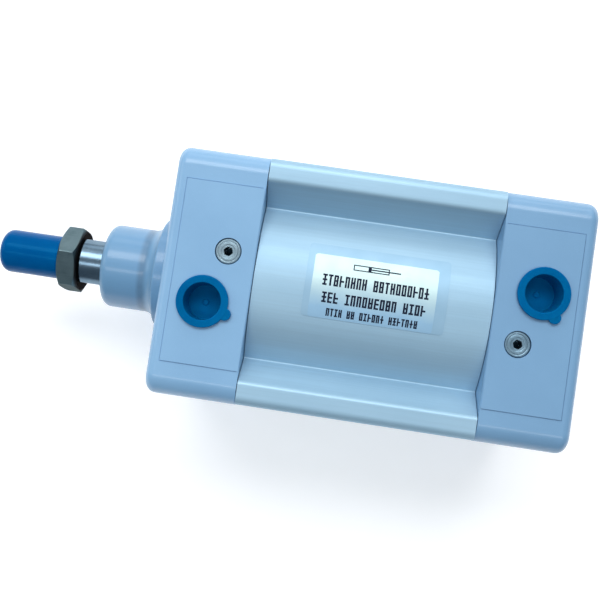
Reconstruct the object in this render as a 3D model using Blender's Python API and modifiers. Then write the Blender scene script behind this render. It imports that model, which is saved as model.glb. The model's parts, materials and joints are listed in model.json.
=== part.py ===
"""Double-acting pneumatic cylinder, 100 mm bore and 50 mm stroke, with its rod fully in.

The cylinder lies with its air ports up. X runs along it: the rod points to -X.
The origin is under the middle of the whole object, on the plane it stands on.
Lengths are in metres. "Station" means a distance along X or Z in a part's own frame.
Each end cover has an empty at its outer face, with +X pointing into the cylinder,
and everything that belongs to that end is placed in the empty's frame.
"""

import math

import bmesh
import bpy
from mathutils import Matrix

MM = 0.001
GAP = 0.3 * MM  # clearance between pieces that touch on the real cylinder
BEYOND = 1 * MM  # how far a cutter reaches past the surface that it opens
ROOT = 2 * MM  # how deep a joined shape reaches into its neighbour
MERGE = 0.01 * MM  # points closer than this are one point
CHAMFER = 0.8 * MM  # usual edge break on turned pieces

# Driving dimensions
BORE = 100 * MM
STROKE = 50 * MM
SIDE = 112 * MM  # width and height of the square covers
BODY_LENGTH = 138 * MM + STROKE  # over both covers, without the boss
COVER_LENGTH = 41 * MM
ROD_DIAMETER = 25 * MM
BOSS_LENGTH = 38 * MM  # from the front cover's face to the boss's rim
SHOULDER_REACH = 51 * MM  # from the front cover's face to the rod's thread shoulder
THREAD_DIAMETER = 20 * MM
THREAD_LENGTH = 40 * MM
CAP_REACH = 93 * MM  # from the front cover's face to the tip of the thread cap
MOUNT_PITCH = 89 * MM  # square pattern of the cover screws

# Places that follow from them
AXIS_HEIGHT = SIDE / 2
FRONT_FACE = (CAP_REACH - BODY_LENGTH) / 2
REAR_FACE = (CAP_REACH + BODY_LENGTH) / 2
ROD_RADIUS = ROD_DIAMETER / 2

# Covers
LONG_EDGE_RADIUS = 9 * MM
OUTER_EDGE_RADIUS = 4.5 * MM
PAD_RISE = 0.4 * MM  # machined pad around the port
PAD_INSET = 9 * MM
PAD_HALF_WIDTH = 40.7 * MM
PAD_BACK_INSET = 0.1 * MM
SPIGOT_RADIUS = 49.6 * MM
SPIGOT_LENGTH = 8 * MM
SPIGOT_END = COVER_LENGTH + SPIGOT_LENGTH
SPIGOT_CHAMFER = 1 * MM
TUBE_SEAL_STATION = COVER_LENGTH + 4.8 * MM
TUBE_SEAL_RADIUS = SPIGOT_RADIUS - 1.2 * MM  # to the middle of its round section
TUBE_SEAL_THICKNESS = 2.7 * MM
TUBE_GROOVE_DEPTH = 2.8 * MM
TUBE_GROOVE_WIDTH = 3.6 * MM
CHAMBER_RADIUS = 23 * MM
CHAMBER_START = 12 * MM
CUSHION_SEAL_START = 42.5 * MM
CUSHION_SEAL_LENGTH = 5 * MM
CUSHION_GROOVE_RADIUS = 26 * MM
CUSHION_RADIUS = 19 * MM
CUSHION_MOUTH_RADIUS = 20.5 * MM
CUSHION_CLEARANCE = 0.4 * MM
BOSS_RADIUS = 21 * MM
BOSS_RIM_RADIUS = 4 * MM
COLLAR_RADIUS = 27.5 * MM
COLLAR_LENGTH = 10 * MM
COLLAR_FILLET = 6.5 * MM
RECESS_DEPTH = 4 * MM
BUSH_BORE_RADIUS = 14.9 * MM
BUSH_CLEARANCE = 0.2 * MM
WIPER_BORE_RADIUS = 17.6 * MM
WIPER_BORE_DEPTH = 9 * MM

# Air port and its plug, in the cover's frame
PORT_X = 20.7 * MM
PORT_Y = -12.5 * MM
PORT_RADIUS = 9.3 * MM
PORT_MOUTH_RADIUS = 10.7 * MM
PORT_BOTTOM = 8 * MM
PLUG_FLANGE_RADIUS = 11.6 * MM
PLUG_FLANGE_THICKNESS = 1.6 * MM
PLUG_DEPTH = 12 * MM
PLUG_WALL = 0.7 * MM
PLUG_FLOOR = 1 * MM
PLUG_TAPER = 0.4 * MM
PLUG_EDGE = 0.4 * MM
PLUG_FOOT_EDGE = 0.6 * MM
LUG_RADIUS = 2.8 * MM
LUG_OFFSET = 11.4 * MM
LUG_INSET = 0.1 * MM  # from each face of the flange
FRONT_LUG_ANGLE = math.radians(-22)
REAR_LUG_ANGLE = math.radians(121)

# Cushion needle screw, in the cover's frame
NEEDLE_X = 28.6 * MM
NEEDLE_Y = 11 * MM
NEEDLE_BORE_RADIUS = 6.2 * MM
NEEDLE_BORE_BOTTOM = 33 * MM
NEEDLE_SEAT_RADIUS = 2.2 * MM
NEEDLE_HEAD_RADIUS = 5.7 * MM
NEEDLE_HEAD_SINK = 0.2 * MM
NEEDLE_HEAD_LENGTH = 5.2 * MM
NEEDLE_NECK_RADIUS = 3.8 * MM
NEEDLE_NECK_LENGTH = 3 * MM
NEEDLE_BODY_LENGTH = 5.6 * MM
NEEDLE_TIP_LIFT = 1.6 * MM  # how far the needle is backed out of its seat
NEEDLE_TIP_RADIUS = 0.9 * MM
NEEDLE_CONE_LENGTH = 2 * MM
NEEDLE_PIN_LENGTH = 4.4 * MM
KEY_ACROSS_FLATS = 4 * MM
KEY_DEPTH = 4 * MM
BLEED_HEIGHT = 35.5 * MM
BLEED_RADIUS = 2 * MM

# Cover screws, each with a threaded hole for a mounting screw in its head
SCREW_HEAD_RADIUS = 7.5 * MM
SCREW_HEAD_START = 1 * MM
SCREW_HEAD_LENGTH = 21 * MM
SCREW_SHANK_RADIUS = 4.4 * MM
SCREW_LENGTH = 62 * MM
SCREW_HEAD_CLEARANCE = 0.4 * MM
SCREW_SHANK_CLEARANCE = 0.8 * MM
MOUNT_THREAD_RADIUS = 4.2 * MM
MOUNT_THREAD_DEPTH = 15 * MM
SCREW_HEX_ACROSS_FLATS = 6 * MM
SCREW_HEX_DEPTH = 3 * MM

# Barrel profile
BARREL_RADIUS = 55 * MM
BARREL_HALF_WIDTH = 55.4 * MM
EAR_CORNER_RADIUS = 8 * MM
VALLEY_ANGLE = math.radians(39)  # from the middle of a side to the foot of an ear
EAR_TOP_INSET = 10.3 * MM  # from the profile's edge to the top of the ear's slope
EAR_TOP_RADIUS = 3 * MM
SCREW_CHANNEL_RADIUS = 4.7 * MM

# Rating label on the barrel
LABEL_START = 64 * MM
LABEL_LENGTH = 63 * MM
LABEL_FROM = math.radians(-12.5)
LABEL_TO = math.radians(22)
LABEL_RADIUS = 55.2 * MM
LABEL_THICKNESS = 0.2 * MM

# Piston, with stations from its front face
PISTON_RADIUS = 49.2 * MM
PISTON_LENGTH = 38 * MM
SEAL_RADIUS = 49.8 * MM
SEAL_GROOVE_START = 3 * MM
SEAL_GROOVE_END = 9 * MM
SEAL_GROOVE_RADIUS = 42.4 * MM
SEAL_HEEL_INSET = 1.2 * MM
SEAL_LIP_THICKNESS = 1.6 * MM
SEAL_CLEFT_DEPTH = 2.9 * MM
SEAL_CLEFT_INNER = 1.7 * MM  # above the foot of the seal
SEAL_CLEFT_OUTER = 3.9 * MM
SEAL_INNER_LIP = 0.7 * MM
WEAR_GROOVE_START = 12 * MM
WEAR_GROOVE_RADIUS = 47 * MM
WEAR_RING_SPLIT = 1.6 * MM
MAGNET_POCKET_START = 14.5 * MM
MAGNET_INNER_RADIUS = 36 * MM
MAGNET_OUTER_RADIUS = 44 * MM
BUMPER_INNER_RADIUS = 28 * MM
BUMPER_OUTER_RADIUS = 38 * MM
BUMPER_GROOVE_DEPTH = 2.6 * MM
BUMPER_PROUD = 0.7 * MM
STUB_RADIUS = 8 * MM
STATIC_GROOVE_START = 4.2 * MM
STATIC_GROOVE_END = 7.2 * MM
STATIC_GROOVE_RADIUS = 10.5 * MM
STATIC_SEAL_RADIUS = 9.35 * MM
STATIC_SEAL_THICKNESS = 1.8 * MM
CUSHION_LENGTH = 24 * MM
CUSHION_FLANGE = 3.3 * MM
CUSHION_CHAMFER_LENGTH = 2 * MM
CUSHION_CHAMFER_DEPTH = 1 * MM
SPEAR_POCKET_RADIUS = 15 * MM
PISTON_NUT_ACROSS_FLATS = 24 * MM
PISTON_NUT_LENGTH = 8 * MM
PISTON_FRONT = REAR_FACE - SPIGOT_END - GAP - BUMPER_PROUD - PISTON_LENGTH

# Rod end, lock nut and thread cap
FLATS_ACROSS = 22 * MM
FLATS_LENGTH = 10.5 * MM
UNDERCUT_RADIUS = 8.9 * MM
UNDERCUT_LENGTH = 2.5 * MM
UNDERCUT_SLOPE = 1 * MM
THREAD_RADIUS = THREAD_DIAMETER / 2 - 0.15 * MM  # just under nominal, as cut threads are
THREAD_CHAMFER = 1.4 * MM
STUB_PROUD = 3 * MM  # of the stub's end past the piston nut
NUT_ACROSS_FLATS = 30 * MM
NUT_LENGTH = 10 * MM
NUT_THREAD_RADIUS = THREAD_DIAMETER / 2 + 0.2 * MM
NUT_TURN = math.radians(21)  # where its corners have come to rest
NUT_FACE_SHARE = 0.96  # of the width across flats that a nut's flat face spans
NUT_CHAMFER_ANGLE = math.radians(30)
NUT_CORNER_ROOM = 0.1 * MM
CAP_RADIUS = 11 * MM
CAP_INNER_RADIUS = 10.25 * MM
CAP_TIP_RADIUS = 4.5 * MM
CAP_CORNER = 1 * MM  # chamfer at the bottom of the cap's hollow
CAP_TIP_CLEARANCE = 0.5 * MM

FINE, MEDIUM, SMALL, COARSE = 32, 24, 16, 12  # sides of round shapes, from visible to hidden
ALONG = {"X": (0, math.pi / 2, 0), "Z": (0, 0, 0)}


def clear_scene():
    for obj in list(bpy.data.objects):
        bpy.data.objects.remove(obj)


def new_collection(name, helpers=False):
    made = bpy.data.collections.new(name)
    made.hide_render = helpers
    bpy.context.scene.collection.children.link(made)
    return made


def new_material(name, colour, roughness, metallic=0.0):
    made = bpy.data.materials.new(name)
    made.use_nodes = True
    shader = made.node_tree.nodes["Principled BSDF"]
    shader.inputs["Base Color"].default_value = (*colour, 1.0)
    shader.inputs["Roughness"].default_value = roughness
    shader.inputs["Metallic"].default_value = metallic
    return made


clear_scene()
PARTS = new_collection("pneumatic_cylinder")
CUTTERS = new_collection("cutters", helpers=True)
PAINT = new_material("blue_grey_paint", (0.27, 0.42, 0.62), 0.4)
ANODISED = new_material("anodised_aluminium", (0.62, 0.74, 0.8), 0.35, 0.9)
ALUMINIUM = new_material("machined_aluminium", (0.7, 0.71, 0.72), 0.3, 0.9)
CHROME = new_material("chromed_steel", (0.8, 0.82, 0.84), 0.12, 1.0)
STEEL = new_material("zinc_plated_steel", (0.6, 0.61, 0.6), 0.3, 0.9)
DARK_STEEL = new_material("burnished_steel", (0.1, 0.13, 0.14), 0.4, 0.8)
BRONZE = new_material("sintered_bronze", (0.5, 0.33, 0.16), 0.5, 0.8)
POLYURETHANE = new_material("polyurethane", (0.13, 0.2, 0.12), 0.5)
NITRILE = new_material("nitrile_rubber", (0.02, 0.02, 0.02), 0.7)
ACETAL = new_material("acetal", (0.8, 0.79, 0.72), 0.5)
MAGNET = new_material("bonded_magnet", (0.06, 0.06, 0.07), 0.6, 0.3)
BLUE_CAP = new_material("blue_vinyl", (0.0, 0.09, 0.32), 0.35)
BLUE_PLUG = new_material("blue_polyethylene", (0.01, 0.14, 0.36), 0.4)
FILM = new_material("label_film", (0.75, 0.8, 0.84), 0.2)


def new_object(name, mesh, material, parent=None, at=(0, 0, 0), along="Z"):
    """An object in the parts collection, or in the cutters collection if it has no material."""
    obj = bpy.data.objects.new(name, mesh)
    if material:
        mesh.materials.append(material)
        PARTS.objects.link(obj)
    else:
        CUTTERS.objects.link(obj)
        obj.hide_render = True
        obj.display_type = "WIRE"
    obj.parent = parent
    obj.location = at
    obj.rotation_euler = ALONG[along]
    return obj


def mesh_from(name, bm):
    mesh = bpy.data.meshes.new(name)
    bm.to_mesh(mesh)
    bm.free()
    return mesh


def arc(centre, radius, start, end, steps):
    """Points of an arc between two angles in degrees, from the first axis to the second."""
    angles = [math.radians(start + (end - start) * i / steps) for i in range(steps + 1)]
    return [
        (centre[0] + radius * math.cos(a), centre[1] + radius * math.sin(a))
        for a in angles
    ]


def area(points):
    pairs = zip(points, points[1:] + points[:1])
    return sum(a[0] * b[1] - b[0] * a[1] for a, b in pairs) / 2


def turned(name, outline, material=None, sides=MEDIUM, **place):
    """A solid of revolution from (station, radius) points. It is a ring unless it meets the axis."""
    points = [(radius, station) for station, radius in outline]
    if area(points) > 0:
        points.reverse()
    bm = bmesh.new()
    corners = [bm.verts.new((radius, 0, station)) for radius, station in points]
    for a, b in zip(corners, corners[1:]):
        bm.edges.new((a, b))
    if points[0][0] > 0:
        bm.edges.new((corners[-1], corners[0]))
    obj = new_object(name, mesh_from(name, bm), material, **place)
    spin = obj.modifiers.new("turn", "SCREW")
    spin.axis = "Z"
    spin.steps = spin.render_steps = sides
    spin.use_merge_vertices = True
    spin.merge_threshold = MERGE
    spin.use_smooth_shade = False
    return obj


def cylinder(name, start, end, radius, material=None, sides=MEDIUM, **place):
    bm = bmesh.new()
    bmesh.ops.create_cone(
        bm,
        cap_ends=True,
        segments=sides,
        radius1=radius,
        radius2=radius,
        depth=end - start,
        matrix=Matrix.Translation((0, 0, (start + end) / 2)),
    )
    return new_object(name, mesh_from(name, bm), material, **place)


def box(name, low, high, material=None, **place):
    size = [b - a for a, b in zip(low, high)]
    centre = [(a + b) / 2 for a, b in zip(low, high)]
    bm = bmesh.new()
    bmesh.ops.create_cube(bm, size=1, matrix=Matrix.LocRotScale(centre, None, size))
    return new_object(name, mesh_from(name, bm), material, **place)


def hexagon(name, start, end, across_flats, material=None, **place):
    return cylinder(name, start, end, across_flats / math.sqrt(3), material, 6, **place)


def combine(obj, operation, others):
    """Boolean of obj with all the others, which stay in a collection of their own."""
    label = operation.lower()
    group = bpy.data.collections.new(f"{obj.name}_{label}")
    CUTTERS.children.link(group)
    for other in others:
        CUTTERS.objects.unlink(other)
        group.objects.link(other)
    step = obj.modifiers.new(label, "BOOLEAN")
    step.operation = operation
    step.operand_type = "COLLECTION"
    step.collection = group
    step.solver = "EXACT"


def freeze(obj):
    """Makes the evaluated shape the object's own mesh, smooth except at its corners."""
    evaluated = obj.evaluated_get(bpy.context.evaluated_depsgraph_get())
    frozen = bpy.data.meshes.new_from_object(evaluated)
    obj.modifiers.clear()
    obj.data = frozen
    frozen.shade_smooth()
    frozen.set_sharp_from_angle(angle=math.radians(35))


def end_frame(name, face, turn):
    empty = bpy.data.objects.new(name, None)
    PARTS.objects.link(empty)
    empty.location = (face, 0, AXIS_HEIGHT)
    empty.rotation_euler = (0, 0, turn)
    return empty


def ring_section(station, radius, thickness, sides=6):
    """Outline of an O-ring whose section is centred at this station and radius."""
    return arc((station, radius), thickness / 2, 0, 360 - 360 / sides, sides - 1)


def screw_places():
    half = MOUNT_PITCH / 2
    return [(half, half), (-half, half), (-half, -half), (half, -half)]


# ---------------------------------------------------------------- end covers


def cover_block(name, end):
    """The square casting, rounded along its long edges and around its outer face."""
    low = (0, -SIDE / 2, -SIDE / 2)
    high = (COVER_LENGTH, SIDE / 2, SIDE / 2 - PAD_RISE)
    block = box(name, low, high, PAINT, parent=end)
    bm = bmesh.new()
    bm.from_mesh(block.data)
    lengthwise = [e for e in bm.edges if abs(e.verts[0].co.x - e.verts[1].co.x) > GAP]
    bmesh.ops.bevel(
        bm,
        geom=lengthwise,
        offset=LONG_EDGE_RADIUS,
        segments=5,
        profile=0.5,
        affect="EDGES",
    )
    outer = [e for e in bm.edges if all(v.co.x < GAP for v in e.verts)]
    bmesh.ops.bevel(
        bm,
        geom=outer,
        offset=OUTER_EDGE_RADIUS,
        segments=3,
        profile=0.5,
        affect="EDGES",
    )
    bm.to_mesh(block.data)
    bm.free()
    return block


def spigot(end):
    """The stub that centres the barrel, with a groove for the tube seal."""
    groove_radius = SPIGOT_RADIUS - TUBE_GROOVE_DEPTH
    groove_start = TUBE_SEAL_STATION - TUBE_GROOVE_WIDTH / 2
    groove_end = TUBE_SEAL_STATION + TUBE_GROOVE_WIDTH / 2
    outline = [
        (COVER_LENGTH - ROOT, 0),
        (COVER_LENGTH - ROOT, SPIGOT_RADIUS),
        (groove_start, SPIGOT_RADIUS),
        (groove_start, groove_radius),
        (groove_end, groove_radius),
        (groove_end, SPIGOT_RADIUS),
        (SPIGOT_END - SPIGOT_CHAMFER, SPIGOT_RADIUS),
        (SPIGOT_END, SPIGOT_RADIUS - SPIGOT_CHAMFER),
        (SPIGOT_END, 0),
    ]
    return turned(f"{end.name}_spigot", outline, parent=end, along="X")


def machined_pad(end):
    low = (PAD_INSET, -PAD_HALF_WIDTH, SIDE / 2 - ROOT)
    high = (COVER_LENGTH - PAD_BACK_INSET, PAD_HALF_WIDTH, SIDE / 2)
    return box(f"{end.name}_pad", low, high, parent=end)


def chamber_cutter(end):
    """The hollow that the port leads to, with the groove for the cushion seal at its mouth."""
    groove_end = CUSHION_SEAL_START + CUSHION_SEAL_LENGTH
    outline = [
        (CHAMBER_START, 0),
        (CHAMBER_START, CHAMBER_RADIUS),
        (CUSHION_SEAL_START, CHAMBER_RADIUS),
        (CUSHION_SEAL_START, CUSHION_GROOVE_RADIUS),
        (groove_end, CUSHION_GROOVE_RADIUS),
        (groove_end, CUSHION_MOUTH_RADIUS),
        (SPIGOT_END + BEYOND, CUSHION_MOUTH_RADIUS),
        (SPIGOT_END + BEYOND, 0),
    ]
    return turned(f"{end.name}_chamber", outline, parent=end, along="X")


def port_cutter(end):
    chamfer = PORT_MOUTH_RADIUS - PORT_RADIUS
    outline = [
        (SIDE / 2 + BEYOND, 0),
        (SIDE / 2 + BEYOND, PORT_MOUTH_RADIUS),
        (SIDE / 2, PORT_MOUTH_RADIUS),
        (SIDE / 2 - chamfer, PORT_RADIUS),
        (PORT_BOTTOM, PORT_RADIUS),
        (PORT_BOTTOM, 0),
    ]
    place = (PORT_X, PORT_Y, 0)
    return turned(f"{end.name}_port", outline, parent=end, at=place)


def needle_cutters(end):
    """The cushion screw's bore, its seat and the passage that bleeds the cushion."""
    outline = [
        (SIDE / 2 + BEYOND, 0),
        (SIDE / 2 + BEYOND, NEEDLE_BORE_RADIUS),
        (NEEDLE_BORE_BOTTOM, NEEDLE_BORE_RADIUS),
        (NEEDLE_BORE_BOTTOM, NEEDLE_SEAT_RADIUS),
        (CHAMBER_RADIUS / 2, NEEDLE_SEAT_RADIUS),
        (CHAMBER_RADIUS / 2, 0),
    ]
    place = (NEEDLE_X, NEEDLE_Y, 0)
    bore = turned(f"{end.name}_needle_bore", outline, sides=SMALL, parent=end, at=place)
    bleed = cylinder(
        f"{end.name}_bleed",
        NEEDLE_X,
        SPIGOT_END + BEYOND,
        BLEED_RADIUS,
        sides=COARSE,
        parent=end,
        at=(0, NEEDLE_Y, BLEED_HEIGHT),
        along="X",
    )
    return [bore, bleed]


def screw_hole_cutters(end):
    seat = SCREW_HEAD_START + SCREW_HEAD_LENGTH + GAP
    head = SCREW_HEAD_RADIUS + SCREW_HEAD_CLEARANCE
    shank = SCREW_SHANK_RADIUS + SCREW_SHANK_CLEARANCE
    outline = [
        (-BEYOND, 0),
        (-BEYOND, head),
        (seat, head),
        (seat, shank),
        (COVER_LENGTH + BEYOND, shank),
        (COVER_LENGTH + BEYOND, 0),
    ]
    return [
        turned(f"{end.name}_hole_{i}", outline, sides=COARSE, parent=end, at=(0, y, z), along="X")
        for i, (y, z) in enumerate(screw_places(), 1)
    ]


def common_cutters(end):
    return [
        chamber_cutter(end),
        port_cutter(end),
        *needle_cutters(end),
        *screw_hole_cutters(end),
    ]


def front_boss(end):
    """The rod's boss, flaring into the centring collar at the cover's face."""
    rim_centre = (BOSS_RIM_RADIUS - BOSS_LENGTH, BOSS_RADIUS - BOSS_RIM_RADIUS)
    fillet_centre = (-COLLAR_LENGTH - COLLAR_FILLET, BOSS_RADIUS + COLLAR_FILLET)
    outline = [
        (ROOT, 0),
        (ROOT, COLLAR_RADIUS),
        *arc(fillet_centre, COLLAR_FILLET, 0, -90, 5),
        *arc(rim_centre, BOSS_RIM_RADIUS, 90, 180, 4),
        (-BOSS_LENGTH, 0),
    ]
    return turned("front_boss", outline, sides=FINE, parent=end, along="X")


def rod_bore_cutter(end):
    wiper_seat = WIPER_BORE_DEPTH - BOSS_LENGTH
    outline = [
        (CHAMBER_START + BEYOND, 0),
        (CHAMBER_START + BEYOND, BUSH_BORE_RADIUS),
        (wiper_seat, BUSH_BORE_RADIUS),
        (wiper_seat, WIPER_BORE_RADIUS),
        (-BOSS_LENGTH - BEYOND, WIPER_BORE_RADIUS),
        (-BOSS_LENGTH - BEYOND, 0),
    ]
    return turned("rod_bore", outline, parent=end, along="X")


def front_cover(end):
    cover = cover_block("front_cover", end)
    combine(cover, "UNION", [spigot(end), machined_pad(end), front_boss(end)])
    combine(cover, "DIFFERENCE", [*common_cutters(end), rod_bore_cutter(end)])


def rear_cover(end):
    cover = cover_block("rear_cover", end)
    recess = cylinder(
        "rear_recess", -BEYOND, RECESS_DEPTH, COLLAR_RADIUS, sides=FINE, parent=end, along="X"
    )
    combine(cover, "UNION", [spigot(end), machined_pad(end)])
    combine(cover, "DIFFERENCE", [*common_cutters(end), recess])


# ---------------------------------------------------------------- seals and guides in the covers


def tube_seal(name, end):
    ring = ring_section(TUBE_SEAL_STATION, TUBE_SEAL_RADIUS, TUBE_SEAL_THICKNESS)
    turned(name, ring, NITRILE, parent=end, along="X")


def cushion_seal(name, end):
    start = CUSHION_SEAL_START + GAP
    finish = CUSHION_SEAL_START + CUSHION_SEAL_LENGTH - GAP
    inner = CUSHION_RADIUS + CUSHION_CLEARANCE
    outer = CUSHION_GROOVE_RADIUS - GAP
    lip = 1.5 * MM
    outline = [
        (start, inner + lip),
        (start, outer),
        (finish, outer),
        (finish, inner + lip),
        (finish - lip, inner),
        (start + lip, inner),
    ]
    turned(name, outline, POLYURETHANE, parent=end, along="X")


def rod_guide_bush(end):
    start = WIPER_BORE_DEPTH - BOSS_LENGTH + GAP
    finish = CHAMBER_START - GAP
    inner = ROD_RADIUS + BUSH_CLEARANCE
    outer = BUSH_BORE_RADIUS - GAP
    outline = [(start, inner), (start, outer), (finish, outer), (finish, inner)]
    turned("rod_guide_bush", outline, BRONZE, parent=end, along="X")


def rod_wiper_seal(end):
    rim = -BOSS_LENGTH
    seat = WIPER_BORE_DEPTH - BOSS_LENGTH - GAP
    outer = WIPER_BORE_RADIUS - GAP
    inner = ROD_RADIUS + GAP
    face = rim + 0.4 * MM
    edge = 0.6 * MM
    lip = rim - 0.5 * MM
    lip_length = 2.5 * MM
    lip_edge = inner + 0.7 * MM
    lip_foot = inner + 2 * MM
    hollow = inner + 0.8 * MM
    outline = [
        (seat, outer),
        (face + edge, outer),
        (face, outer - edge),
        (face, lip_foot),
        (lip, lip_edge),
        (lip, inner),
        (lip + lip_length, hollow),
        (seat - lip_length, hollow),
        (seat, inner),
    ]
    turned("rod_wiper_seal", outline, POLYURETHANE, parent=end, along="X")


# ---------------------------------------------------------------- cover screws


def cover_screws(prefix, end):
    """Four equal screws: a long head with a threaded hole, and a shank that taps into the barrel."""
    head_end = SCREW_HEAD_START + SCREW_HEAD_LENGTH
    hole_end = SCREW_HEAD_START + MOUNT_THREAD_DEPTH
    outline = [
        (hole_end, 0),
        (hole_end, MOUNT_THREAD_RADIUS),
        (SCREW_HEAD_START + CHAMFER, MOUNT_THREAD_RADIUS),
        (SCREW_HEAD_START, MOUNT_THREAD_RADIUS + CHAMFER),
        (SCREW_HEAD_START, SCREW_HEAD_RADIUS - CHAMFER),
        (SCREW_HEAD_START + CHAMFER, SCREW_HEAD_RADIUS),
        (head_end, SCREW_HEAD_RADIUS),
        (head_end, SCREW_SHANK_RADIUS),
        (SCREW_LENGTH - CHAMFER, SCREW_SHANK_RADIUS),
        (SCREW_LENGTH, SCREW_SHANK_RADIUS - CHAMFER),
        (SCREW_LENGTH, 0),
    ]
    first = turned(f"{prefix}_cover_screw_1", outline, STEEL, COARSE, parent=end, along="X")
    socket = hexagon(
        f"{prefix}_screw_socket",
        hole_end - BEYOND,
        hole_end + SCREW_HEX_DEPTH,
        SCREW_HEX_ACROSS_FLATS,
        parent=end,
        along="X",
    )
    combine(first, "DIFFERENCE", [socket])
    freeze(first)
    copies = [
        bpy.data.objects.new(f"{prefix}_cover_screw_{number}", first.data) for number in (2, 3, 4)
    ]
    for copy in copies:
        PARTS.objects.link(copy)
        copy.parent = end
        copy.rotation_euler = ALONG["X"]
    for screw, (y, z) in zip([first, *copies], screw_places()):
        screw.location = (0, y, z)


# ---------------------------------------------------------------- cushion screws and port plugs


def cushion_screw(prefix, end):
    """The needle screw that throttles the cushion, and the O-ring that seals it."""
    place = (NEEDLE_X, NEEDLE_Y, 0)
    top = SIDE / 2 - NEEDLE_HEAD_SINK
    neck_top = top - NEEDLE_HEAD_LENGTH
    neck_bottom = neck_top - NEEDLE_NECK_LENGTH
    body_bottom = neck_bottom - NEEDLE_BODY_LENGTH
    tip = NEEDLE_BORE_BOTTOM + NEEDLE_TIP_LIFT
    pin_radius = NEEDLE_SEAT_RADIUS - GAP
    slope = 1 * MM
    outline = [
        (top, 0),
        (top, NEEDLE_HEAD_RADIUS - CHAMFER),
        (top - CHAMFER / 2, NEEDLE_HEAD_RADIUS),
        (neck_top, NEEDLE_HEAD_RADIUS),
        (neck_top, NEEDLE_NECK_RADIUS),
        (neck_bottom, NEEDLE_NECK_RADIUS),
        (neck_bottom, NEEDLE_HEAD_RADIUS),
        (body_bottom, NEEDLE_HEAD_RADIUS),
        (body_bottom - slope, NEEDLE_NECK_RADIUS),
        (tip + NEEDLE_PIN_LENGTH, NEEDLE_NECK_RADIUS - slope),
        (tip + NEEDLE_PIN_LENGTH, pin_radius),
        (tip + NEEDLE_CONE_LENGTH, pin_radius),
        (tip, NEEDLE_TIP_RADIUS),
        (tip, 0),
    ]
    screw = turned(f"{prefix}_cushion_screw", outline, STEEL, SMALL, parent=end, at=place)
    key_name = f"{prefix}_cushion_key"
    key = hexagon(key_name, top - KEY_DEPTH, top + BEYOND, KEY_ACROSS_FLATS, parent=end, at=place)
    combine(screw, "DIFFERENCE", [key])
    thickness = 2 * MM
    ring_radius = NEEDLE_NECK_RADIUS + thickness / 2 + GAP / 2
    ring = ring_section((neck_top + neck_bottom) / 2, ring_radius, thickness)
    turned(f"{prefix}_cushion_screw_seal", ring, NITRILE, SMALL, parent=end, at=place)


def port_plug(prefix, end, lug_angle):
    """A soft plug: a thin cup in the port, a flange on the pad, and a lug to pull it by."""
    under = SIDE / 2 + GAP
    top = under + PLUG_FLANGE_THICKNESS
    foot = under - PLUG_DEPTH
    mouth = PORT_RADIUS - GAP
    base = mouth - PLUG_TAPER
    outline = [
        (foot, 0),
        (foot, base - PLUG_FOOT_EDGE),
        (foot + PLUG_FOOT_EDGE, base),
        (under, mouth),
        (under, PLUG_FLANGE_RADIUS),
        (top - PLUG_EDGE, PLUG_FLANGE_RADIUS),
        (top, PLUG_FLANGE_RADIUS - PLUG_EDGE),
        (top, mouth - PLUG_WALL),
        (foot + PLUG_FLOOR, base - PLUG_WALL),
        (foot + PLUG_FLOOR, 0),
    ]
    place = (PORT_X, PORT_Y, 0)
    plug = turned(f"{prefix}_port_plug", outline, BLUE_PLUG, parent=end, at=place)
    lug_place = (
        PORT_X + LUG_OFFSET * math.cos(lug_angle),
        PORT_Y + LUG_OFFSET * math.sin(lug_angle),
        0,
    )
    lug = cylinder(
        f"{prefix}_plug_lug",
        under + LUG_INSET,
        top - LUG_INSET,
        LUG_RADIUS,
        sides=SMALL,
        parent=end,
        at=lug_place,
    )
    combine(plug, "UNION", [lug])


# ---------------------------------------------------------------- barrel


def fillet(before, corner, after, radius, steps):
    """Points of an arc of this radius that rounds a corner between two straight edges."""
    ways = []
    for other in (before, after):
        dx, dy = other[0] - corner[0], other[1] - corner[1]
        length = math.hypot(dx, dy)
        ways.append((dx / length, dy / length))
    half = math.acos(ways[0][0] * ways[1][0] + ways[0][1] * ways[1][1]) / 2
    reach = radius / math.sin(half)
    middle = (ways[0][0] + ways[1][0], ways[0][1] + ways[1][1])
    scale = reach / math.hypot(*middle)
    centre = (corner[0] + middle[0] * scale, corner[1] + middle[1] * scale)
    run = radius / math.tan(half)
    ends = [
        math.atan2(corner[1] + w[1] * run - centre[1], corner[0] + w[0] * run - centre[0])
        for w in ways
    ]
    sweep = (ends[1] - ends[0] + math.pi) % (2 * math.pi) - math.pi
    angles = [ends[0] + sweep * i / steps for i in range(steps + 1)]
    return [(centre[0] + radius * math.cos(a), centre[1] + radius * math.sin(a)) for a in angles]


def profile_quarter():
    """The outline from the middle of one side, over an ear, to the middle of the next side."""
    edge = BARREL_HALF_WIDTH
    valley = (BARREL_RADIUS * math.cos(VALLEY_ANGLE), BARREL_RADIUS * math.sin(VALLEY_ANGLE))
    crest = (edge, edge - EAR_TOP_INSET)
    corner = (edge, edge)
    far_crest, far_valley = crest[::-1], valley[::-1]
    side = arc((0, 0), BARREL_RADIUS, 0, math.degrees(VALLEY_ANGLE), 9)
    far_side = [(y, x) for x, y in reversed(side)]
    return [
        *side,
        *fillet(valley, crest, corner, EAR_TOP_RADIUS, 3),
        *fillet(crest, corner, far_crest, EAR_CORNER_RADIUS, 6),
        *fillet(corner, far_crest, far_valley, EAR_TOP_RADIUS, 3),
        *far_side[:-1],
    ]


def circle(centre, radius, sides):
    return arc(centre, radius, 0, 360 - 360 / sides, sides - 1)


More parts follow.
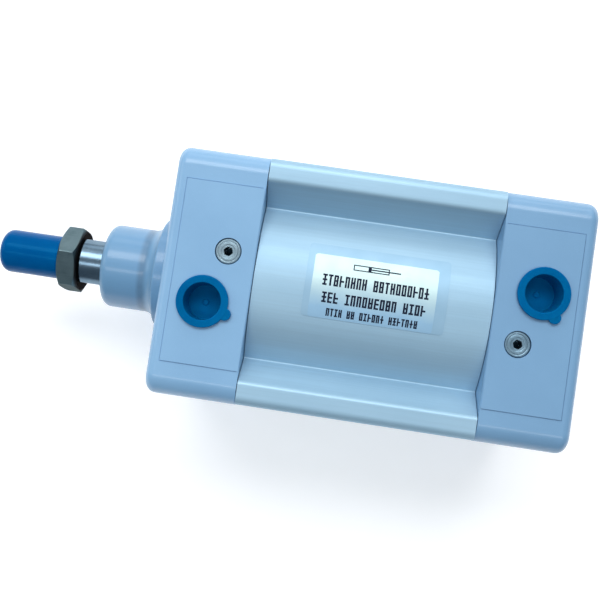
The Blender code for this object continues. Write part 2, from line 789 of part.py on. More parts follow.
def barrel_profile():
    """The extruded barrel: a filled outline with the bore and four screw channels left open."""
    quarter = profile_quarter()
    outline = []
    for turn in range(4):
        c, s = round(math.cos(turn * math.pi / 2)), round(math.sin(turn * math.pi / 2))
        outline += [(c * x - s * y, s * x + c * y) for x, y in quarter]
    holes = [circle(place, SCREW_CHANNEL_RADIUS, COARSE) for place in screw_places()]
    curve = bpy.data.curves.new("barrel_outline", "CURVE")
    curve.dimensions = "2D"
    curve.fill_mode = "BOTH"
    curve.extrude = (BODY_LENGTH - 2 * COVER_LENGTH) / 2 - GAP
    for points in [outline, circle((0, 0), BORE / 2, 2 * FINE), *holes]:
        spline = curve.splines.new("POLY")
        spline.points.add(len(points) - 1)
        for point, (x, y) in zip(spline.points, points):
            point.co = (x, y, 0, 1)
        spline.use_cyclic_u = True
    guide = bpy.data.objects.new("barrel_guide", curve)
    CUTTERS.objects.link(guide)
    bpy.context.view_layer.update()
    evaluated = guide.evaluated_get(bpy.context.evaluated_depsgraph_get())
    bm = bmesh.new()
    bm.from_mesh(bpy.data.meshes.new_from_object(evaluated))
    bpy.data.objects.remove(guide)
    bmesh.ops.remove_doubles(bm, verts=bm.verts, dist=MERGE)
    middle = ((FRONT_FACE + REAR_FACE) / 2, 0, AXIS_HEIGHT)
    mesh = mesh_from("barrel_profile", bm)
    new_object("barrel_profile", mesh, ANODISED, at=middle, along="X")


def rating_label(end):
    """A thin film wrapped on the barrel, between the ears of the port side."""
    bm = bmesh.new()
    bmesh.ops.create_grid(bm, x_segments=2, y_segments=12, size=0.5)
    for vert in bm.verts:
        angle = LABEL_FROM + (vert.co.y + 0.5) * (LABEL_TO - LABEL_FROM)
        vert.co = (
            LABEL_START + (vert.co.x + 0.5) * LABEL_LENGTH,
            LABEL_RADIUS * math.sin(angle),
            LABEL_RADIUS * math.cos(angle),
        )
    label = new_object("rating_label", mesh_from("rating_label", bm), FILM, parent=end)
    thicken = label.modifiers.new("thickness", "SOLIDIFY")
    thicken.thickness = LABEL_THICKNESS
    thicken.offset = 1


# ---------------------------------------------------------------- piston and rod


def piston_half(name, piston, mirrored):
    """Half of the piston, with grooves for its seals. Only the front half seals on the rod."""
    middle = PISTON_LENGTH / 2 - GAP / 2
    hole = STUB_RADIUS + GAP
    outline = [
        (0, hole),
        (0, BUMPER_INNER_RADIUS),
        (BUMPER_GROOVE_DEPTH, BUMPER_INNER_RADIUS),
        (BUMPER_GROOVE_DEPTH, BUMPER_OUTER_RADIUS),
        (0, BUMPER_OUTER_RADIUS),
        (0, PISTON_RADIUS - CHAMFER),
        (CHAMFER, PISTON_RADIUS),
        (SEAL_GROOVE_START, PISTON_RADIUS),
        (SEAL_GROOVE_START, SEAL_GROOVE_RADIUS),
        (SEAL_GROOVE_END, SEAL_GROOVE_RADIUS),
        (SEAL_GROOVE_END, PISTON_RADIUS),
        (WEAR_GROOVE_START, PISTON_RADIUS),
        (WEAR_GROOVE_START, WEAR_GROOVE_RADIUS),
        (middle, WEAR_GROOVE_RADIUS),
        (middle, MAGNET_OUTER_RADIUS),
        (MAGNET_POCKET_START, MAGNET_OUTER_RADIUS),
        (MAGNET_POCKET_START, MAGNET_INNER_RADIUS),
        (middle, MAGNET_INNER_RADIUS),
        (middle, hole),
    ]
    if mirrored:
        outline = [(PISTON_LENGTH - station, radius) for station, radius in outline]
    else:
        outline += [
            (STATIC_GROOVE_END, hole),
            (STATIC_GROOVE_END, STATIC_GROOVE_RADIUS),
            (STATIC_GROOVE_START, STATIC_GROOVE_RADIUS),
            (STATIC_GROOVE_START, hole),
        ]
    turned(name, outline, ALUMINIUM, parent=piston, along="X")


def piston_lip_seal(name, piston, mirrored):
    """A U-cup whose open side faces the pressure."""
    root = SEAL_GROOVE_RADIUS + GAP
    front = SEAL_GROOVE_START + GAP
    back = SEAL_GROOVE_END - GAP
    cleft = front + SEAL_CLEFT_DEPTH
    outline = [
        (back, root),
        (back, SEAL_RADIUS - SEAL_HEEL_INSET),
        (front, SEAL_RADIUS),
        (front, SEAL_RADIUS - SEAL_LIP_THICKNESS),
        (cleft, root + SEAL_CLEFT_OUTER),
        (cleft, root + SEAL_CLEFT_INNER),
        (front, root + SEAL_INNER_LIP),
        (front, root),
    ]
    if mirrored:
        outline = [(PISTON_LENGTH - station, radius) for station, radius in outline]
    turned(name, outline, POLYURETHANE, parent=piston, along="X")


def bumper(name, piston, mirrored):
    start, finish = -BUMPER_PROUD, BUMPER_GROOVE_DEPTH - GAP
    inner, outer = BUMPER_INNER_RADIUS + GAP, BUMPER_OUTER_RADIUS - GAP
    outline = [(start, inner), (start, outer), (finish, outer), (finish, inner)]
    if mirrored:
        outline = [(PISTON_LENGTH - station, radius) for station, radius in outline]
    turned(name, outline, NITRILE, parent=piston, along="X")


def piston_rings(piston):
    """The magnet ring between the halves, and the split wear ring around them."""
    start, finish = MAGNET_POCKET_START + GAP, PISTON_LENGTH - MAGNET_POCKET_START - GAP
    inner, outer = MAGNET_INNER_RADIUS + GAP, MAGNET_OUTER_RADIUS - GAP
    outline = [(start, inner), (start, outer), (finish, outer), (finish, inner)]
    turned("magnet_ring", outline, MAGNET, parent=piston, along="X")
    start, finish = WEAR_GROOVE_START + GAP, PISTON_LENGTH - WEAR_GROOVE_START - GAP
    inner, outer = WEAR_GROOVE_RADIUS + GAP, SEAL_RADIUS
    outline = [(start, inner), (start, outer), (finish, outer), (finish, inner)]
    ring = turned("piston_wear_ring", outline, ACETAL, parent=piston, along="X")
    low = (start - BEYOND, -WEAR_RING_SPLIT / 2, inner - BEYOND)
    high = (finish + BEYOND, WEAR_RING_SPLIT / 2, outer + BEYOND)
    combine(ring, "DIFFERENCE", [box("wear_ring_split", low, high, parent=piston)])


def cushion_sleeves(piston):
    """The sleeve in front of the piston, and the spear behind it that holds the piston nut."""
    edge_radius = CUSHION_RADIUS - CUSHION_CHAMFER_DEPTH
    hole = STUB_RADIUS + GAP
    over_rod = ROD_RADIUS + GAP
    front = [
        (-GAP, hole),
        (-GAP, CUSHION_RADIUS),
        (CUSHION_CHAMFER_LENGTH - CUSHION_LENGTH, CUSHION_RADIUS),
        (-CUSHION_LENGTH, edge_radius),
        (-CUSHION_LENGTH, over_rod),
        (-CUSHION_FLANGE, over_rod),
        (-CUSHION_FLANGE, hole),
    ]
    turned("front_cushion_sleeve", front, ALUMINIUM, parent=piston, along="X")
    start, finish = PISTON_LENGTH + GAP, PISTON_LENGTH + CUSHION_LENGTH
    rear = [
        (start, hole),
        (start, CUSHION_RADIUS),
        (finish - CUSHION_CHAMFER_LENGTH, CUSHION_RADIUS),
        (finish, edge_radius),
        (finish, SPEAR_POCKET_RADIUS),
        (start + CUSHION_FLANGE, SPEAR_POCKET_RADIUS),
        (start + CUSHION_FLANGE, hole),
    ]
    turned("rear_cushion_spear", rear, ALUMINIUM, parent=piston, along="X")


def hex_nut(name, start, length, across_flats, hole, material, **place):
    """A hexagon nut, chamfered at both faces and at both mouths of its hole."""
    finish = start + length
    nut = hexagon(name, start, finish, across_flats, material, **place)
    over_corner = across_flats / math.sqrt(3) + NUT_CORNER_ROOM
    face = across_flats / 2 * NUT_FACE_SHARE
    slope = (over_corner - face) * math.tan(NUT_CHAMFER_ANGLE)
    envelope = [
        (start - MERGE, 0),
        (start - MERGE, face),
        (start + slope, over_corner),
        (finish - slope, over_corner),
        (finish + MERGE, face),
        (finish + MERGE, 0),
    ]
    mouth = hole + CHAMFER
    bore = [
        (start - BEYOND, 0),
        (start - BEYOND, mouth),
        (start, mouth),
        (start + CHAMFER, hole),
        (finish - CHAMFER, hole),
        (finish, mouth),
        (finish + BEYOND, mouth),
        (finish + BEYOND, 0),
    ]
    combine(nut, "INTERSECT", [turned(f"{name}_chamfer", envelope, **place)])
    combine(nut, "DIFFERENCE", [turned(f"{name}_bore", bore, **place)])
    return nut


def piston_rod(end, piston):
    """One bar: rod thread, wrench flats, chromed rod, and the stub that the piston is bolted on."""
    tip = -SHOULDER_REACH - THREAD_LENGTH
    shoulder = -SHOULDER_REACH
    front = PISTON_FRONT - FRONT_FACE
    stub_start = front - CUSHION_FLANGE - GAP
    stub_end = front + PISTON_LENGTH + CUSHION_FLANGE + PISTON_NUT_LENGTH + STUB_PROUD
    outline = [
        (tip, 0),
        (tip, THREAD_RADIUS - THREAD_CHAMFER),
        (tip + THREAD_CHAMFER, THREAD_RADIUS),
        (shoulder - UNDERCUT_LENGTH - UNDERCUT_SLOPE, THREAD_RADIUS),
        (shoulder - UNDERCUT_LENGTH, UNDERCUT_RADIUS),
        (shoulder, UNDERCUT_RADIUS),
        (shoulder, ROD_RADIUS - CHAMFER),
        (shoulder + CHAMFER, ROD_RADIUS),
        (stub_start, ROD_RADIUS),
        (stub_start, STUB_RADIUS),
        (stub_end - CHAMFER, STUB_RADIUS),
        (stub_end, STUB_RADIUS - CHAMFER),
        (stub_end, 0),
    ]
    rod = turned("piston_rod", outline, CHROME, parent=end, along="X")
    flat, beyond = FLATS_ACROSS / 2, ROD_RADIUS + BEYOND
    first, last = shoulder - BEYOND, shoulder + FLATS_LENGTH
    flats = [
        box("flat_left", (first, flat, -beyond), (last, beyond, beyond), parent=end),
        box("flat_right", (first, -beyond, -beyond), (last, -flat, beyond), parent=end),
    ]
    combine(rod, "DIFFERENCE", flats)
    hex_nut(
        "piston_nut",
        PISTON_LENGTH + CUSHION_FLANGE + 2 * GAP,
        PISTON_NUT_LENGTH,
        PISTON_NUT_ACROSS_FLATS,
        STUB_RADIUS + GAP,
        STEEL,
        parent=piston,
        along="X",
    )
    static = ring_section(
        (STATIC_GROOVE_START + STATIC_GROOVE_END) / 2,
        STATIC_SEAL_RADIUS,
        STATIC_SEAL_THICKNESS,
    )
    turned("piston_static_seal", static, NITRILE, SMALL, parent=piston, along="X")


def rod_lock_nut(end):
    nut = hex_nut(
        "rod_lock_nut",
        -SHOULDER_REACH - GAP - NUT_LENGTH,
        NUT_LENGTH,
        NUT_ACROSS_FLATS,
        NUT_THREAD_RADIUS,
        DARK_STEEL,
        parent=end,
        along="X",
    )
    nut.data.transform(Matrix.Rotation(NUT_TURN, 4, "Z"))


def rod_thread_cap(end):
    """The soft cap pushed over the rod's thread to protect it."""
    mouth = -SHOULDER_REACH - NUT_LENGTH - 2 * GAP
    tip = -CAP_REACH
    inner_end = -SHOULDER_REACH - THREAD_LENGTH - CAP_TIP_CLEARANCE
    tip_centre = (tip + CAP_TIP_RADIUS, CAP_RADIUS - CAP_TIP_RADIUS)
    outline = [
        (inner_end, 0),
        (inner_end, CAP_INNER_RADIUS - CAP_CORNER),
        (inner_end + CAP_CORNER, CAP_INNER_RADIUS),
        (mouth, CAP_INNER_RADIUS),
        (mouth, CAP_RADIUS),
        *arc(tip_centre, CAP_TIP_RADIUS, 90, 180, 5),
        (tip, 0),
    ]
    turned("rod_thread_cap", outline, BLUE_CAP, parent=end, along="X")


def main():
    front_end = end_frame("front_end", FRONT_FACE, 0)
    rear_end = end_frame("rear_end", REAR_FACE, math.pi)
    piston = end_frame("piston_frame", PISTON_FRONT, 0)
    bpy.context.view_layer.update()

    front_cover(front_end)
    rear_cover(rear_end)
    barrel_profile()
    rating_label(front_end)
    rod_guide_bush(front_end)
    rod_wiper_seal(front_end)
    for prefix, end, lug_angle in (
        ("front", front_end, FRONT_LUG_ANGLE),
        ("rear", rear_end, REAR_LUG_ANGLE),
    ):
        tube_seal(f"{prefix}_tube_seal", end)
        cushion_seal(f"{prefix}_cushion_seal", end)
        cover_screws(prefix, end)
        cushion_screw(prefix, end)
        port_plug(prefix, end, lug_angle)

    piston_rod(front_end, piston)
    rod_lock_nut(front_end)
    rod_thread_cap(front_end)
    cushion_sleeves(piston)
    piston_rings(piston)
    for prefix, mirrored in (("front", False), ("rear", True)):
        piston_half(f"piston_{prefix}_half", piston, mirrored)
        piston_lip_seal(f"{prefix}_piston_seal", piston, mirrored)
        bumper(f"{prefix}_bumper", piston, mirrored)
    for part in PARTS.objects:
        if part.type == "MESH" and (part.modifiers or part.name == "barrel_profile"):
            freeze(part)


main()
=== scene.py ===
# Looks of the pneumatic cylinder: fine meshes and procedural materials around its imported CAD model.
# Lengths are in metres. What belongs to an end cover is made in that end's own frame: its origin is
# where the rod's axis meets the cover's outer face, +X points into the cylinder and +Z points up.
import json
import math
import random

import bmesh
import bpy
from mathutils import Matrix, Vector, noise


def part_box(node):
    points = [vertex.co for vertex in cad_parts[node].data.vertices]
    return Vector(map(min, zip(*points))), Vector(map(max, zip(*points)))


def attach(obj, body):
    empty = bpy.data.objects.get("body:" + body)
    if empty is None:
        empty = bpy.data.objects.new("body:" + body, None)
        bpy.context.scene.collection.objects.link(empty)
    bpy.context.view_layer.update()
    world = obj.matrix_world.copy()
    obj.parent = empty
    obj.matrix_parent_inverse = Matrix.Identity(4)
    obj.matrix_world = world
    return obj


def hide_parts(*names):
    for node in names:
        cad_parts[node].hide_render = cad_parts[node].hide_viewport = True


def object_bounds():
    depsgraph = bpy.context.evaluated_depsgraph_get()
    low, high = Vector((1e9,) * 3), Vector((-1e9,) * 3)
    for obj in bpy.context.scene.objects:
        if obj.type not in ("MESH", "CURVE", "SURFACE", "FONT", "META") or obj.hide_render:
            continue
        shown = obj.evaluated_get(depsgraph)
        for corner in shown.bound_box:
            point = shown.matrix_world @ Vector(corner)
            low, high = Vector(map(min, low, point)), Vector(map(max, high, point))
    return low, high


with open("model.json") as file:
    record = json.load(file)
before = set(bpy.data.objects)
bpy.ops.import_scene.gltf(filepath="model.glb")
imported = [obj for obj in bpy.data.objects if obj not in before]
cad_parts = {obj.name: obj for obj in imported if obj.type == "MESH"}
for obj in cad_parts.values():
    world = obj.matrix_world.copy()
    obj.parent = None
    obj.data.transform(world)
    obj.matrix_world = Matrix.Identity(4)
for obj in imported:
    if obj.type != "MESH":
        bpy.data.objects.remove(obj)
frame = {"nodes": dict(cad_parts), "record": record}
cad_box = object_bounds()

MM = 0.001
GAP = 0.3 * MM  # between CAD pieces that touch
BEYOND = 1 * MM  # how far a cutting tool reaches past the surface it opens
ROOT = 2 * MM  # how deep joined shapes reach into each other
MERGE = 0.001 * MM  # points closer than this are one point
FINE, ROUND, SMALL = 160, 96, 64  # sides of round shapes
STEPS_PER_PITCH = 8  # stations along one turn of a thread

# ---------------------------------------------------------------- places and sizes from the frame

barrel_low, barrel_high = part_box("barrel_profile")
plug_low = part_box("front_port_plug")[0]
needle_low, needle_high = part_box("front_cushion_screw")
screw_low, screw_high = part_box("front_cover_screw_1")
rod_low, rod_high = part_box("piston_rod")
nut_low, nut_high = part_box("rod_lock_nut")
cap_low, cap_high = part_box("rod_thread_cap")
label_low, label_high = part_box("rating_label")

MIDDLE = (barrel_low + barrel_high) / 2
AXIS = MIDDLE.z  # the rod's axis above the floor
REAR_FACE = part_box("rear_cover")[1].x
FRONT_FACE = 2 * MIDDLE.x - REAR_FACE
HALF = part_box("front_cover")[1].y  # half the side of the square covers
COVER = barrel_low.x - GAP - FRONT_FACE  # length of a cover
BARREL_HALF_WIDTH = barrel_high.y
ROD_RADIUS = rod_high.y
THREAD_TIP = rod_low.x - FRONT_FACE
SHOULDER = nut_high.x + GAP - FRONT_FACE
CAP_TIP = cap_low.x - FRONT_FACE
CAP_RADIUS = cap_high.y
FLANGE_RADIUS = 11.6 * MM  # of a port plug
PORT = Vector((plug_low.x + FLANGE_RADIUS - FRONT_FACE, plug_low.y + FLANGE_RADIUS, 0))
NEEDLE = Vector((needle_low.x + needle_high.x, needle_low.y + needle_high.y, 0)) / 2
NEEDLE.x -= FRONT_FACE
NEEDLE_RADIUS = (needle_high.x - needle_low.x) / 2
SCREW_PLACE = (screw_low.y + screw_high.y) / 2
SCREW_RADIUS = (screw_high.y - screw_low.y) / 2
ENDS = {
    "front": Matrix.Translation((FRONT_FACE, 0, AXIS)),
    "rear": Matrix.Translation((REAR_FACE, 0, AXIS)) @ Matrix.Rotation(math.pi, 4, "Z"),
}
ALONG_X = Matrix.Rotation(math.pi / 2, 4, "Y")
FLARE_REACH = 16.6 * MM  # from the crease at the foot of the boss's flare to the cover's face
FLARE_START = FRONT_FACE - FLARE_REACH

# ---------------------------------------------------------------- mesh tools


def arc(centre, radius, start, end, steps):
    """Points of an arc between two angles in degrees, from the first axis to the second."""
    angles = [math.radians(start + (end - start) * i / steps) for i in range(steps + 1)]
    return [
        (centre[0] + radius * math.cos(a), centre[1] + radius * math.sin(a)) for a in angles
    ]


LEAST_TURN = math.radians(14)  # corners flatter than this stay as they are


def soften(points, radius, steps=4, closed=False):
    """The outline with its sharp corners rounded, each as far as its two sides allow."""
    rounded = []
    count = len(points)
    for i, corner in enumerate(points):
        if not closed and i in (0, count - 1):
            rounded.append(corner)
            continue
        here = Vector(corner)
        before = Vector(points[i - 1]) - here
        after = Vector(points[(i + 1) % count]) - here
        turn = math.pi - before.angle(after, math.pi)
        if turn < LEAST_TURN:
            rounded.append(corner)
            continue
        run = min(radius * math.tan(turn / 2), before.length * 0.45, after.length * 0.45)
        start, end = here + before.normalized() * run, here + after.normalized() * run
        for k in range(steps + 1):
            t = k / steps
            point = start * (1 - t) ** 2 + here * 2 * t * (1 - t) + end * t**2
            rounded.append(tuple(point))
    return rounded


def object_from(name, bm, place=Matrix()):
    """A new object in the scene that holds the mesh, moved to its place."""
    bm.transform(place)
    mesh = bpy.data.meshes.new(name)
    bm.to_mesh(mesh)
    bm.free()
    obj = bpy.data.objects.new(name, mesh)
    bpy.context.scene.collection.objects.link(obj)
    return obj


def turned(name, outline, place, sides=ROUND, offset=None):
    """A solid of revolution about Z from (station, radius) points, a ring unless it meets the axis.
    offset(station, angle) may move a point outwards, as a thread does."""
    bm = bmesh.new()
    rings = []
    for station, radius in outline:
        if radius == 0:
            rings.append([bm.verts.new((0, 0, station))])
            continue
        ring = []
        for i in range(sides):
            angle = 2 * math.pi * i / sides
            out = radius + (offset(station, angle) if offset else 0)
            ring.append(bm.verts.new((out * math.cos(angle), out * math.sin(angle), station)))
        rings.append(ring)
    if outline[0][1] > 0:
        rings.append(rings[0])
    for a, b in zip(rings, rings[1:]):
        for i in range(sides):
            j = (i + 1) % sides
            corners = [a[i % len(a)], a[j % len(a)], b[j % len(b)], b[i % len(b)]]
            corners = list(dict.fromkeys(corners))
            if len(corners) > 2:
                bm.faces.new(corners)
    bmesh.ops.recalc_face_normals(bm, faces=bm.faces)
    return object_from(name, bm, place)


def box_mesh(low, high):
    """A box between its lowest and highest corners."""
    low, high = Vector(low), Vector(high)
    bm = bmesh.new()
    matrix = Matrix.LocRotScale((low + high) / 2, None, high - low)
    bmesh.ops.create_cube(bm, size=1, matrix=matrix)
    return bm


def block(name, low, high, place):
    return object_from(name, box_mesh(low, high), place)


def hexagon(name, start, end, across_flats, place, turn=0.0):
    """A hexagonal bar along Z between two stations."""
    bm = bmesh.new()
    radius = across_flats / math.sqrt(3)
    middle = Matrix.Translation((0, 0, (start + end) / 2)) @ Matrix.Rotation(turn, 4, "Z")
    bmesh.ops.create_cone(
        bm,
        cap_ends=True,
        segments=6,
        radius1=radius,
        radius2=radius,
        depth=end - start,
        matrix=middle,
    )
    return object_from(name, bm, place)


def evaluated_mesh(obj):
    depsgraph = bpy.context.evaluated_depsgraph_get()
    return bpy.data.meshes.new_from_object(obj.evaluated_get(depsgraph))


def close_seams(mesh):
    """Merges the points that a cut leaves almost on top of each other, and fills the cracks."""
    bm = bmesh.new()
    bm.from_mesh(mesh)
    bmesh.ops.remove_doubles(bm, verts=bm.verts, dist=MERGE)
    bmesh.ops.dissolve_degenerate(bm, edges=bm.edges, dist=MERGE)
    rims = [e for e in bm.edges if e.is_boundary]
    bmesh.ops.holes_fill(bm, edges=rims, sides=4)
    strays = [e for e in bm.edges if e.is_wire]
    bmesh.ops.delete(bm, geom=strays, context="EDGES")
    bmesh.ops.recalc_face_normals(bm, faces=bm.faces)
    bm.to_mesh(mesh)
    bm.free()


def carve(obj, operation, tools):
    """Joins the tools to obj, or cuts them from it, one after another, and removes them."""
    for tool in tools:
        step = obj.modifiers.new(tool.name, "BOOLEAN")
        step.operation = operation
        step.object = tool
        step.solver = "EXACT"
        obj.data = evaluated_mesh(obj)
        obj.modifiers.clear()
        close_seams(obj.data)
        bpy.data.objects.remove(tool)


def bevel_edges(bm, edges, width, segments):
    bmesh.ops.bevel(
        bm, geom=edges, offset=width, segments=segments, profile=0.5, affect="EDGES"
    )


def soft_corners(obj, width, segments=2, angle=40):
    """A narrow rounding along every sharp edge, to catch the light."""
    step = obj.modifiers.new("corners", "BEVEL")
    step.width = width
    step.segments = segments
    step.limit_method = "ANGLE"
    step.angle_limit = math.radians(angle)
    obj.data = evaluated_mesh(obj)
    obj.modifiers.clear()


def thread(start, end, pitch, depth, inner=False):
    """Radial offset of a right-hand thread cut between two stations, fading out at both."""
    fade = 1.2 * pitch
    flat = 0.1  # share of the flank's height lost to the flat crest, and again to the flat root

    def offset(station, angle):
        if not start < station < end:
            return 0.0
        phase = (station / pitch - angle / (2 * math.pi)) % 1
        valley = 1 - abs(2 * phase - 1)
        cut = min(1.0, max(0.0, (valley - flat) / (1 - 2 * flat))) * depth
        share = min(1.0, (station - start) / fade, (end - station) / fade)
        return cut * share if inner else -cut * share

    return offset


def stations(start, end, pitch):
    """Stations close enough together to hold a thread of this pitch."""
    count = max(2, round(abs(end - start) / pitch * STEPS_PER_PITCH))
    return [start + (end - start) * i / count for i in range(count + 1)]


def show(obj, material, body, slot, *nodes, angle=32):
    """Gives a finished mesh its material and shading, and puts it in the place of its CAD nodes."""
    obj.data.materials.clear()
    obj.data.materials.append(material)
    obj.data.shade_smooth()
    obj.data.set_sharp_from_angle(angle=math.radians(angle))
    even = obj.modifiers.new("even_normals", "WEIGHTED_NORMAL")
    even.keep_sharp = True
    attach(obj, body)
    if nodes:
        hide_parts(*nodes)
    return obj


# ---------------------------------------------------------------- material tools


def node(tree, kind, inputs=None, **settings):
    """A shader node with its settings, and with each input linked to a socket or set to a value."""
    made = tree.nodes.new(kind)
    for key, value in settings.items():
        setattr(made, key, value)
    for key, value in (inputs or {}).items():
        if isinstance(value, bpy.types.NodeSocket):
            tree.links.new(value, made.inputs[key])
        else:
            made.inputs[key].default_value = value
    return made


def place_of(tree, centre=(0, 0, 0), stretch=(1, 1, 1)):
    """Coordinates on the piece, counted from a centre and stretched along the axes."""
    start = node(tree, "ShaderNodeTexCoord").outputs["Object"]
    moved = node(
        tree,
        "ShaderNodeVectorMath",
        {0: start, 1: tuple(centre)},
        operation="SUBTRACT",
    ).outputs[0]
    return node(
        tree, "ShaderNodeVectorMath", {0: moved, 1: tuple(stretch)}, operation="MULTIPLY"
    ).outputs[0]


def speckle(tree, place, size, detail=4.0, rough=0.55):
    """Noise from 0 to 1 whose largest features are about this size."""
    return node(
        tree,
        "ShaderNodeTexNoise",
        {"Vector": place, "Scale": 1 / size, "Detail": detail, "Roughness": rough},
    ).outputs["Fac"]


def spread(tree, value, low, high, start=0.3, end=0.7):
    """The value's range from start to end, spread over low to high and held there beyond it."""
    return node(
        tree,
        "ShaderNodeMapRange",
        {"Value": value, "From Min": start, "From Max": end, "To Min": low, "To Max": high},
    ).outputs["Result"]


def tint(tree, share, first, second):
    """A mix of two colours, each a socket or three numbers."""
    made = node(tree, "ShaderNodeMix", {"Factor": share}, data_type="RGBA")
    for socket, value in ((made.inputs[6], first), (made.inputs[7], second)):
        if isinstance(value, bpy.types.NodeSocket):
            tree.links.new(value, socket)
        else:
            socket.default_value = (*value, 1.0)
    return made.outputs[2]


WAVE_LENGTH = 0.31  # of the wave texture at scale 1


def rings_of(tree, place, axis, spacing):
    """Fine rings left by a turning tool, around an axis through the place's origin."""
    return node(
        tree,
        "ShaderNodeTexWave",
        {"Vector": place, "Scale": WAVE_LENGTH / spacing, "Distortion": 0.6, "Detail": 2.0},
        wave_type="RINGS",
        rings_direction=axis,
    ).outputs["Fac"]


def material(name, colour, light, roughness, grain, relief, size=30 * MM, **extra):
    """A Principled material: two shades in broad clouds, and a fine grain in roughness and relief.
    Returns the material with its tree, its shader, and what finer work builds on: the sockets of
    its colour and roughness, and its bump node."""
    made = bpy.data.materials.new(name)
    made.use_nodes = True
    tree = made.node_tree
    surface = tree.nodes["Principled BSDF"]
    for socket, value in extra.items():
        surface.inputs[socket.replace("_", " ")].default_value = value
    place = place_of(tree)
    clouds = spread(tree, speckle(tree, place, size), 0, 1)
    fine = speckle(tree, place, grain, 6.0, 0.65)
    shade = tint(tree, clouds, colour, light)
    tree.links.new(shade, surface.inputs["Base Color"])
    rough = spread(tree, fine, *roughness)
    tree.links.new(rough, surface.inputs["Roughness"])
    bump = node(tree, "ShaderNodeBump", {"Height": fine, "Distance": relief, "Strength": 1.0})
    tree.links.new(bump.outputs["Normal"], surface.inputs["Normal"])
    return made, tree, surface, shade, rough, bump


def add_relief(tree, bump, height, distance):
    """Another layer of relief under an existing bump node."""
    layer = node(tree, "ShaderNodeBump", {"Height": height, "Distance": distance, "Strength": 1.0})
    tree.links.new(layer.outputs["Normal"], bump.inputs["Normal"])


def multiply(tree, first, second):
    return node(tree, "ShaderNodeMath", {0: first, 1: second}, operation="MULTIPLY").outputs[0]


def plus(tree, first, second):
    return node(tree, "ShaderNodeMath", {0: first, 1: second}, operation="ADD").outputs[0]


def along_axis(tree, number, centre=(0, 0, 0)):
    """The distance along an axis of the model, 0 for X and 1 for Y, counted from a centre."""
    return node(tree, "ShaderNodeSeparateXYZ", {0: place_of(tree, centre)}).outputs[number]


# ---------------------------------------------------------------- materials


def cover_paint(name, colour, light, boss_at=None):
    """Satin paint on a die casting: orange peel, faint cloudiness and a few dark specks. A boss in
    front of a station on the rod's axis is painted darker, and a band at its crease darker still:
    painted shade."""
    made, tree, surface, shade, _, bump = material(
        name, colour, light, (0.34, 0.46), 1.3 * MM, 0.012 * MM, Coat_Weight=0.45,
        Coat_Roughness=0.14, Coat_IOR=1.5, Specular_IOR_Level=0.4,
    )
    place = place_of(tree)
    spacing = 26 * MM
    spots = node(
        tree, "ShaderNodeTexVoronoi", {"Vector": place, "Scale": 1 / spacing}, feature="F1"
    ).outputs["Distance"]
    speck = spread(tree, spots, 1, 0, 0.012, 0.022)
    dust = spread(tree, speckle(tree, place, 0.5 * MM, 2.0), 0, 0.35, 0.62, 0.75)
    dusty = tuple(min(1.0, c * 1.25) for c in light)
    dirt = (0.03, 0.05, 0.07)
    finish = tint(tree, speck, tint(tree, dust, shade, dusty), dirt)
    if boss_at is not None:
        # Painted shade: the boss's paint is darker than the cover's, and a patchy band at the crease
        # of its flare darker still.
        shaded_boss_colour = tuple(c * k for c, k in zip(colour, (0.7, 0.77, 0.79)))
        crease_shade_colour = tuple(c * 0.36 for c in colour)
        along = along_axis(tree, 0, (boss_at, 0, 0))
        in_front = spread(tree, along, 1, 0, FLARE_REACH - 3 * MM, FLARE_REACH)
        finish = tint(tree, in_front, finish, shaded_boss_colour)
        away = node(tree, "ShaderNodeMath", {0: along}, operation="ABSOLUTE").outputs[0]
        patchy = spread(tree, speckle(tree, place, 4 * MM), 0.75, 1)
        crease_shade_band = spread(tree, away, 0.6, 0, 0.8 * MM, 2.8 * MM)
        finish = tint(tree, multiply(tree, crease_shade_band, patchy), finish, crease_shade_colour)
    tree.links.new(finish, surface.inputs["Base Color"])
    add_relief(tree, bump, speckle(tree, place, 9 * MM, 2.0), 0.05 * MM)
    return made


def barrel_finish():
    """Anodised extrusion: fine die lines along X over a silvery satin."""
    made, tree, surface, shade, rough, bump = material(
        "anodised_barrel", (0.345, 0.545, 0.7), (0.395, 0.6, 0.75), (0.44, 0.54), 0.5 * MM,
        0.003 * MM, size=60 * MM, Metallic=0.4,
    )
    lines = speckle(tree, place_of(tree, stretch=(0.012, 1, 1)), 1.1 * MM, 5.0, 0.7)
    broad = speckle(tree, place_of(tree, stretch=(0.02, 1, 1)), 7 * MM, 2.0)
    streaked = tint(tree, spread(tree, lines, 0, 0.4), shade, (0.30, 0.46, 0.58))
    tree.links.new(streaked, surface.inputs["Base Color"])
    banded = plus(tree, rough, spread(tree, broad, -0.05, 0.06))
    tree.links.new(banded, surface.inputs["Roughness"])
    add_relief(tree, bump, lines, 0.012 * MM)
    return made


